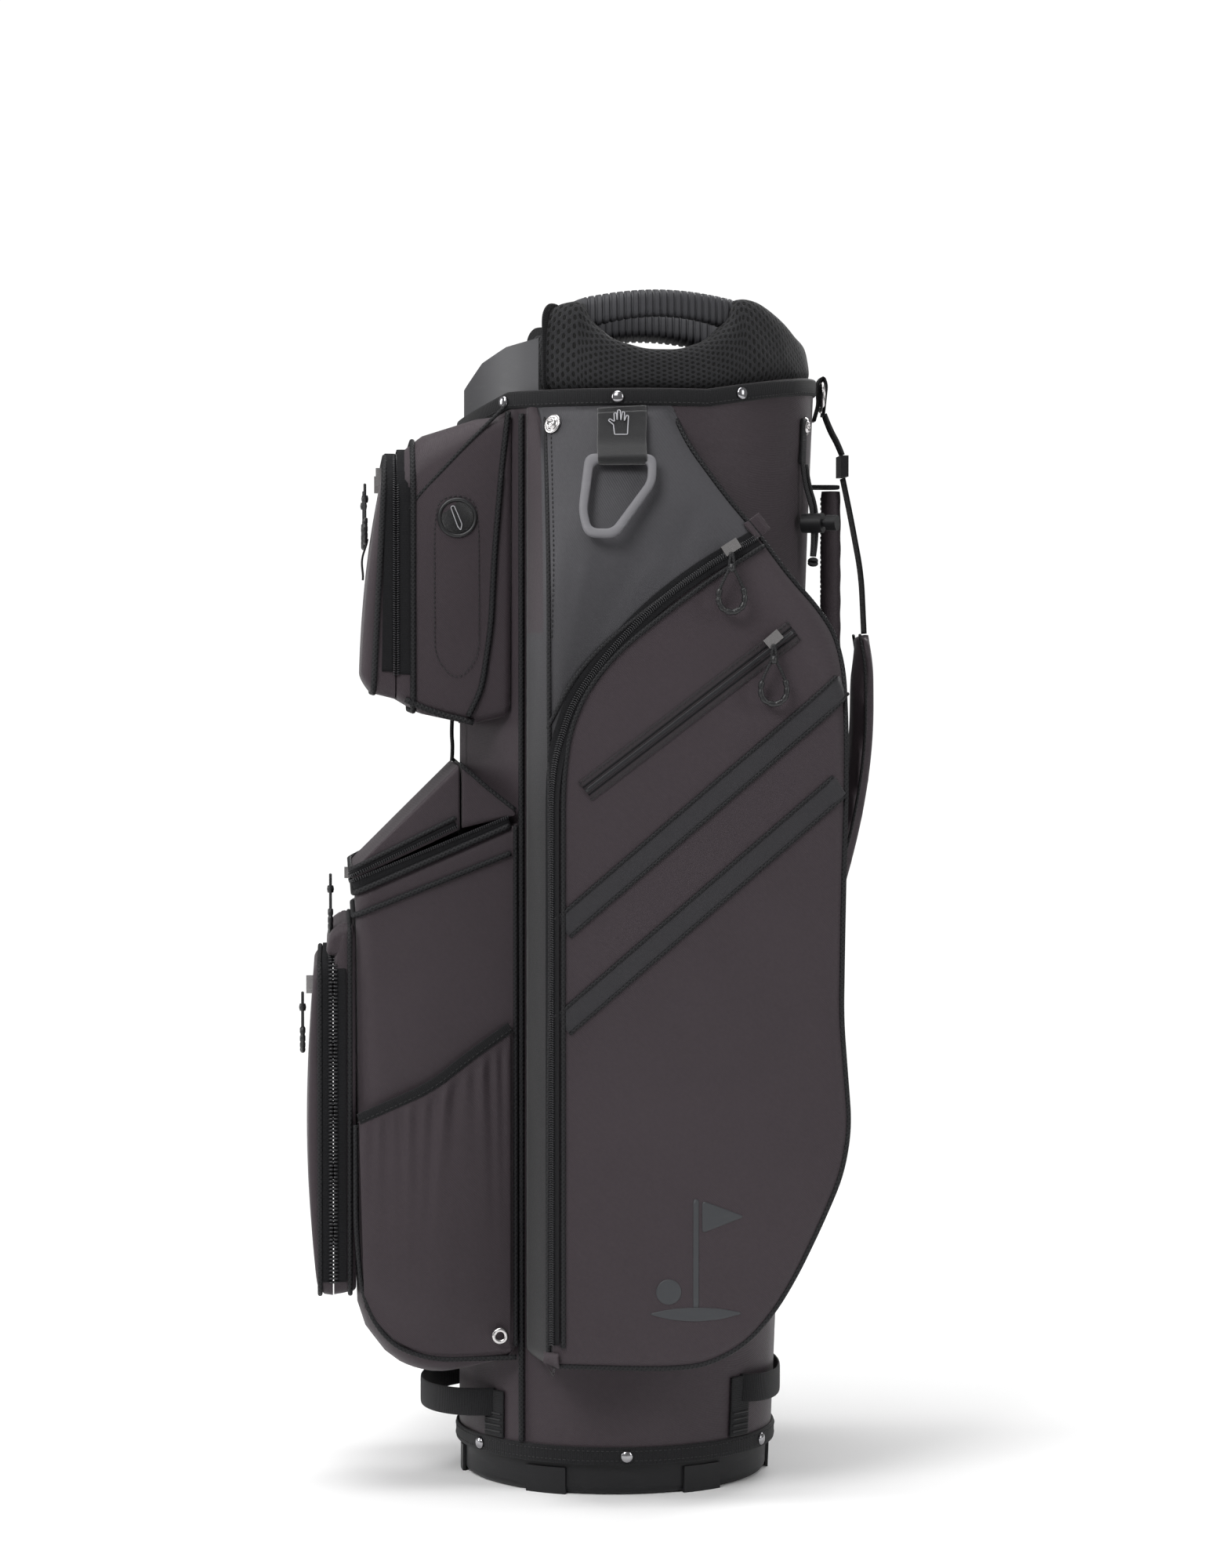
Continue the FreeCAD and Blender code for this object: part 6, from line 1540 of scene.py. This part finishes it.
def strap_pad():
    """Padded strap: a slab swept down a bowed line, swollen by air pressure and sewn flat at its
    rim, with a woven edge all round."""
    line = rounded([(0, 188.4, 643), (0, 192.3, 620), (0, 192.5, 562), (0, 184.6, 506), (0, 170.0, 448),
                    (0, 152.6, 396)], 30, 4.0)
    share = np.linspace(0, 1, len(line))
    width = 25.0 * (0.62 + 0.38 * np.sin(math.pi * np.clip(share, 0.02, 0.98)) ** 0.4)
    turn = np.linspace(0, math.tau, 48, endpoint=False)
    tangent, side, up = frames_along(line, Y_AXIS)
    across = np.sign(np.cos(turn)) * np.abs(np.cos(turn)) ** 0.7
    lift = np.sign(np.sin(turn)) * np.abs(np.sin(turn)) ** 0.9
    thick = 5.6 * (1 - 0.45 * np.abs(across) ** 4)
    grid = (line[:, None] + (width[:, None] * across)[..., None] * side[:, None]
            + (thick * lift)[None, :, None] * up[:, None])
    caps = [grid[k].mean(0) * np.ones((1, grid.shape[1], 3)) for k in (0, -1)]
    grid = np.concatenate([caps[0], grid, caps[1]]).transpose(1, 0, 2)
    pad = surface("strap_pad_cover", grid, BROWN_CLOTH, "bag", (True, False), (True, True))
    inflate(pad, voxel=4.5, cap=3.0)
    stand_in(pad, "strap_pad", slot="tube_fabric")
    edge = np.vstack([line + side * width[:, None] * 0.97, (line - side * width[:, None] * 0.97)[::-1]])
    normals = np.vstack([side, -side[::-1]])
    rope = evenly(np.hstack([edge, normals]), 260, True)
    piping("strap_pad_edge", rope[:, :3], rope[:, 3:], "bag", True, 1.2)


def inflate(piece, voxel, cap):
    """Cloth under gentle inner pressure: remeshed, run for twenty frames with gravity off, each
    point's move held to a cap, then smoothed by one subdivision."""
    scene = bpy.context.scene
    piece.matrix_world.identity()
    remesh = piece.modifiers.new("remesh", "REMESH")
    remesh.mode, remesh.voxel_size = "VOXEL", voxel * MM
    apply_all(piece)
    count = len(piece.data.vertices)
    before = np.empty(count * 3)
    piece.data.vertices.foreach_get("co", before)
    sim = piece.modifiers.new("cloth", "CLOTH")
    sim.settings.use_pressure = True
    sim.settings.uniform_pressure_force = 4.0
    sim.settings.effector_weights.gravity = 0.0
    sim.settings.quality = 6
    sim.point_cache.frame_start, sim.point_cache.frame_end = 1, 20
    for number in range(1, 21):
        scene.frame_set(number)
    apply_all(piece)
    after = np.empty(count * 3)
    piece.data.vertices.foreach_get("co", after)
    move = (after - before).reshape(-1, 3)
    size = np.linalg.norm(move, axis=1, keepdims=True)
    move *= np.minimum(1, cap * MM / np.maximum(size, 1e-9))
    piece.data.vertices.foreach_set("co", (before.reshape(-1, 3) + move).ravel())
    soft = piece.modifiers.new("soft", "SUBSURF")
    soft.levels = soft.render_levels = 1
    apply_all(piece)
    piece.data.polygons.foreach_set("use_smooth", [True] * len(piece.data.polygons))
    scene.frame_set(1)


def apply_all(piece):
    """Replace a piece's mesh by what its modifiers make of it."""
    view = bpy.context.evaluated_depsgraph_get()
    mesh = bpy.data.meshes.new_from_object(piece.evaluated_get(view), depsgraph=view)
    piece.modifiers.clear()
    piece.data = mesh


def make_handles():
    """The wrapped carry handle with its plates and webs, and the two lifting loops."""
    low, high = (np.array(c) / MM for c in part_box("carry_handle"))
    y = (low[1] + high[1]) / 2
    z = np.linspace(low[2] + 1, high[2] - 1, 260)
    path = np.stack([0 * z, y + 0 * z, z], 1)
    share = (z - low[2]) / (high[2] - low[2])
    wrap = 1 + 0.025 * np.sin(share * 60) - 0.10 * np.abs(2 * share - 1) ** 10
    stand_in(sweep("carry_handle_wrap", path, Y_AXIS, circle(7.8, 28), BROWN_CLOTH, "carry_handle",
                   scale=wrap), "carry_handle", slot="tube_fabric")
    seam = np.stack([0 * z, y - 7.6 + 0 * z, z], 1)[8:-8]
    stand_in(stitches("carry_handle_seam", seam, -Y_AXIS, "carry_handle"), slot="webbing")
    for k, (z_low, plate) in enumerate(((high[2] + 0.6, "upper"), (low[2] - 3.8, "lower"))):
        back = float(centre(z_low) + radius(z_low))
        loop = rounded([(-9, back + 0.5), (-9, y + 5), (9, y + 5), (9, back + 0.5)], 7, 1.0)
        path = np.stack([loop[:, 0], loop[:, 1], 0 * loop[:, 0] + z_low + 1.6], 1)
        stand_in(sweep(f"carry_mount_{plate}", path, Z_AXIS, strap_section(3.4, 3.0, -1.5), WEBBING, "bag"),
                 slot="webbing")
        fill = np.stack([np.zeros(20), np.linspace(back - 1, y + 4, 20), np.full(20, z_low + 1.6)], 1)
        stand_in(sweep(f"carry_web_{plate}", fill, Z_AXIS, strap_section(17, 2.4, -1.2), WEBBING, "bag"),
                 slot="webbing")
    base_handle("front", -1, 75.0, -96.0, -150.0, 53.0)
    base_handle("rear", 1, 86.0, 90.0, 128.0, 63.0)


def base_handle(name, way, half, ends_y, reach, low):
    """Lifting loop low on the tube: tape bent in plan over half an ellipse, its ends on sewn patches."""
    turn = np.radians(np.linspace(-90, 90, 90))
    y = ends_y + (reach - ends_y) * np.cos(turn)
    droop = 3.0 * np.cos(turn)
    path = np.stack([(half - 1) * np.sin(turn), y - way * 0.9, low + 11 - droop], 1)
    out = unit(np.stack([np.sin(turn) * 0.75, way * np.cos(turn), 0 * turn], 1))
    stand_in(sweep(f"{name}_lift_tape", path, out, strap_section(21, 2.0, -1.0), WEBBING, "bag"),
             f"{name}_base_handle", slot="webbing")
    for side in (-1, 1):
        spot = (math.atan2(ends_y - 2, side * half))
        z = np.linspace(low + 20, 38, 30)
        path = on_tube(np.full(30, spot), z, 1.0)
        radial = np.array([math.cos(spot), math.sin(spot), 0.0])
        tag = "lr"[side > 0]
        stand_in(sweep(f"{name}_lift_patch_{tag}", path, radial, strap_section(22, 2.0, -0.6), WEBBING,
                       "bag"), slot="webbing")
        across = np.array([-math.sin(spot), math.cos(spot), 0.0])
        for k, height in enumerate((42, 46.5, 51, 55.5)):
            bar = on_tube(spot, float(height), 2.6) + np.linspace(-9, 9, 14)[:, None] * across
            stand_in(sweep(f"{name}_bar_tack_{tag}{k}", bar, radial, circle(0.8, 8), THREAD, "bag"),
                     slot="webbing")


# ---- emblem: a flag in a hole beside a ball, on both side pockets ----

def emblem(side):
    """Raised film pieces on the pocket's face, each a fan from its middle out to a rounded outline."""
    tag = "lr"[side > 0]
    middle = np.array([48.0, 182.0])

    def film(name, corners, soft):
        outline = rounded(np.array(corners, float) + middle, soft, 1.5, True)
        core = outline.mean(0)
        shares = np.concatenate([np.linspace(0, 1, 12), [1.0]])
        flat = core + shares[None, :, None] * (outline - core)[:, None]
        lifts = np.array([*[0.55] * 11, 0.45, -0.5])
        spots, _ = side_point(flat.reshape(-1, 2), side, 0.0)
        grid = spots.reshape(flat.shape[0], flat.shape[1], 3)
        grid[..., 0] += side * lifts
        back = grid[:, -1:] * 1.0
        hub = np.broadcast_to(back.mean(0), back.shape)
        grid = np.concatenate([grid, hub], 1)
        stand_in(surface(f"{name}_{tag}", grid, EMBLEM_FILM, "bag", (True, False), (True, True)),
                 slot="grey_fabric")

    film("emblem_pole", [(-2, -34), (2, -34), (2, 46), (-2, 46)], 1.5)
    film("emblem_flag", [(4.5, 45), (36, 33), (4.5, 21)], 3.0)
    film("emblem_green", [(-36, -38), (-18, -34.5), (0, -33.5), (18, -34.5), (36, -38), (18, -42.5), (0, -44),
                          (-18, -42.5)], 5)
    film("emblem_ball", circle(9.5, 14) + (-20, -22), 3.0)


make_collar()
make_grips()
make_tab()
stand_in(make_ring(), "gear_ring", slot="grey_plastic")
make_snaps()
make_strap()
make_handles()
for hand in (-1, 1):
    emblem(hand)
keep_cad(BLACK_PLASTIC, "strap_adjuster")
